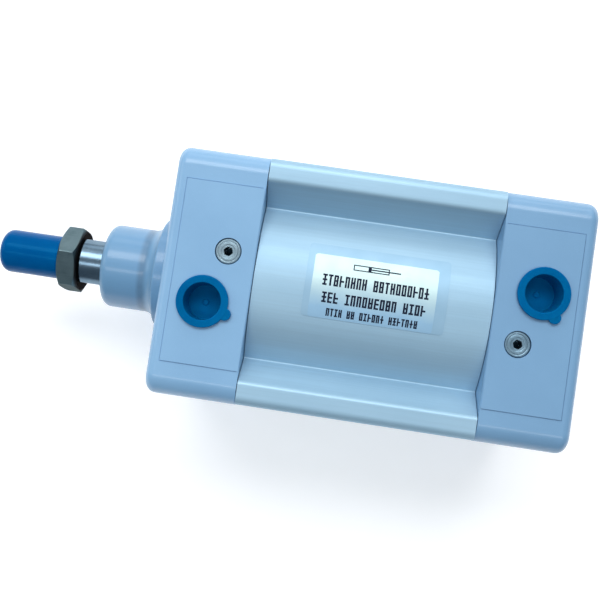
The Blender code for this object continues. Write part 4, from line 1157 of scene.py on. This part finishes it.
def floor():
    """A wide pale floor that glows a little, so that the shadow on it stays faint."""
    bm = bmesh.new()
    bmesh.ops.create_grid(bm, x_segments=1, y_segments=1, size=12)
    ground = object_from("floor", bm, Matrix.Translation((0, 0, cad_box[0].z - 0.05 * MM)))
    pale = plain("pale_floor", (0.87, 0.875, 0.88), (0.9, 0.9, 0.905), (0.6, 0.7), 0, 2 * MM)
    glow = pale.node_tree.nodes["Principled BSDF"].inputs
    glow["Emission Color"].default_value = (1, 1, 1, 1)
    glow["Emission Strength"].default_value = 0.42
    ground.data.materials.append(pale)


WHITE, COOL = (1, 1, 1), (0.95, 0.98, 1)
# name, place, width and height in metres, power in watts, colour
LIGHTS = (
    ("key", (-0.12, 1.03, 1.79), (1.9, 0.7), 23.5, WHITE),
    ("far_slope", (0, 1.42, 1.2), (1.9, 0.5), 2, WHITE),
    ("near_strip", (0, -0.5, 1.9), (2.4, 0.24), 8, WHITE),
    ("far_side", (0.1, 1.8, 0.6), (1.6, 0.5), 5, COOL),
    ("left_side", (-1.7, 0.3, 1.1), (0.9, 0.9), 4.6, COOL),
)


def soft_light(name, place, size, power, colour):
    """A rectangular lamp that faces the middle of the barrel."""
    data = bpy.data.lights.new(name, "AREA")
    data.shape = "RECTANGLE"
    data.size, data.size_y = size
    data.energy = power
    data.color = colour
    lamp = bpy.data.objects.new(name, data)
    lamp.location = place
    lamp.rotation_euler = (Vector(place) - MIDDLE).to_track_quat("Z", "Y").to_euler()
    bpy.context.scene.collection.objects.link(lamp)


def light():
    """The lamps, in a room that is a little brighter on its far side."""
    for lamp in LIGHTS:
        soft_light(*lamp)
    world = bpy.data.worlds.new("room")
    bpy.context.scene.world = world
    world.use_nodes = True
    tree = world.node_tree
    direction = node(tree, "ShaderNodeTexCoord").outputs["Generated"]
    side = node(tree, "ShaderNodeSeparateXYZ", {0: direction}).outputs["Y"]
    share = spread(tree, side, 0, 1, -0.7, 0.8)
    shade = tint(tree, share, (0.28, 0.34, 0.40), (0.75, 0.82, 0.88))
    tree.links.new(shade, tree.nodes["Background"].inputs["Color"])
    tree.nodes["Background"].inputs["Strength"].default_value = 0.45


EYE = MIDDLE + Vector((-20.3, -18.0, 392.5)) * MM  # close above, a little towards the rod end
EYE_TURN = [math.radians(a) for a in (2.345, 1.486, 8.460)]
LENS = 46.15  # millimetres, on a sensor 36 wide


def camera():
    """The photo's viewpoint, as a perspective camera was fitted to the corners of the object."""
    data = bpy.data.cameras.new("camera")
    data.lens = LENS
    data.sensor_width = 36
    data.clip_start, data.clip_end = 0.01, 20
    eye = bpy.data.objects.new("camera", data)
    eye.location = EYE
    eye.rotation_euler = EYE_TURN
    bpy.context.scene.collection.objects.link(eye)
    bpy.context.scene.camera = eye


# ---------------------------------------------------------------- build

camera()
light()
floor()
front_cover()
rear_cover()
rod_wiper()
cover_screws()
for end, lug_turn in (("front", -22), ("rear", 121)):
    cushion_screw(end)
    port_plug(end, math.radians(lug_turn))
barrel()
label()
piston_rod()
lock_nut()
thread_cap()
finish_hidden_nodes()
bpy.context.scene.view_settings.view_transform = "Standard"
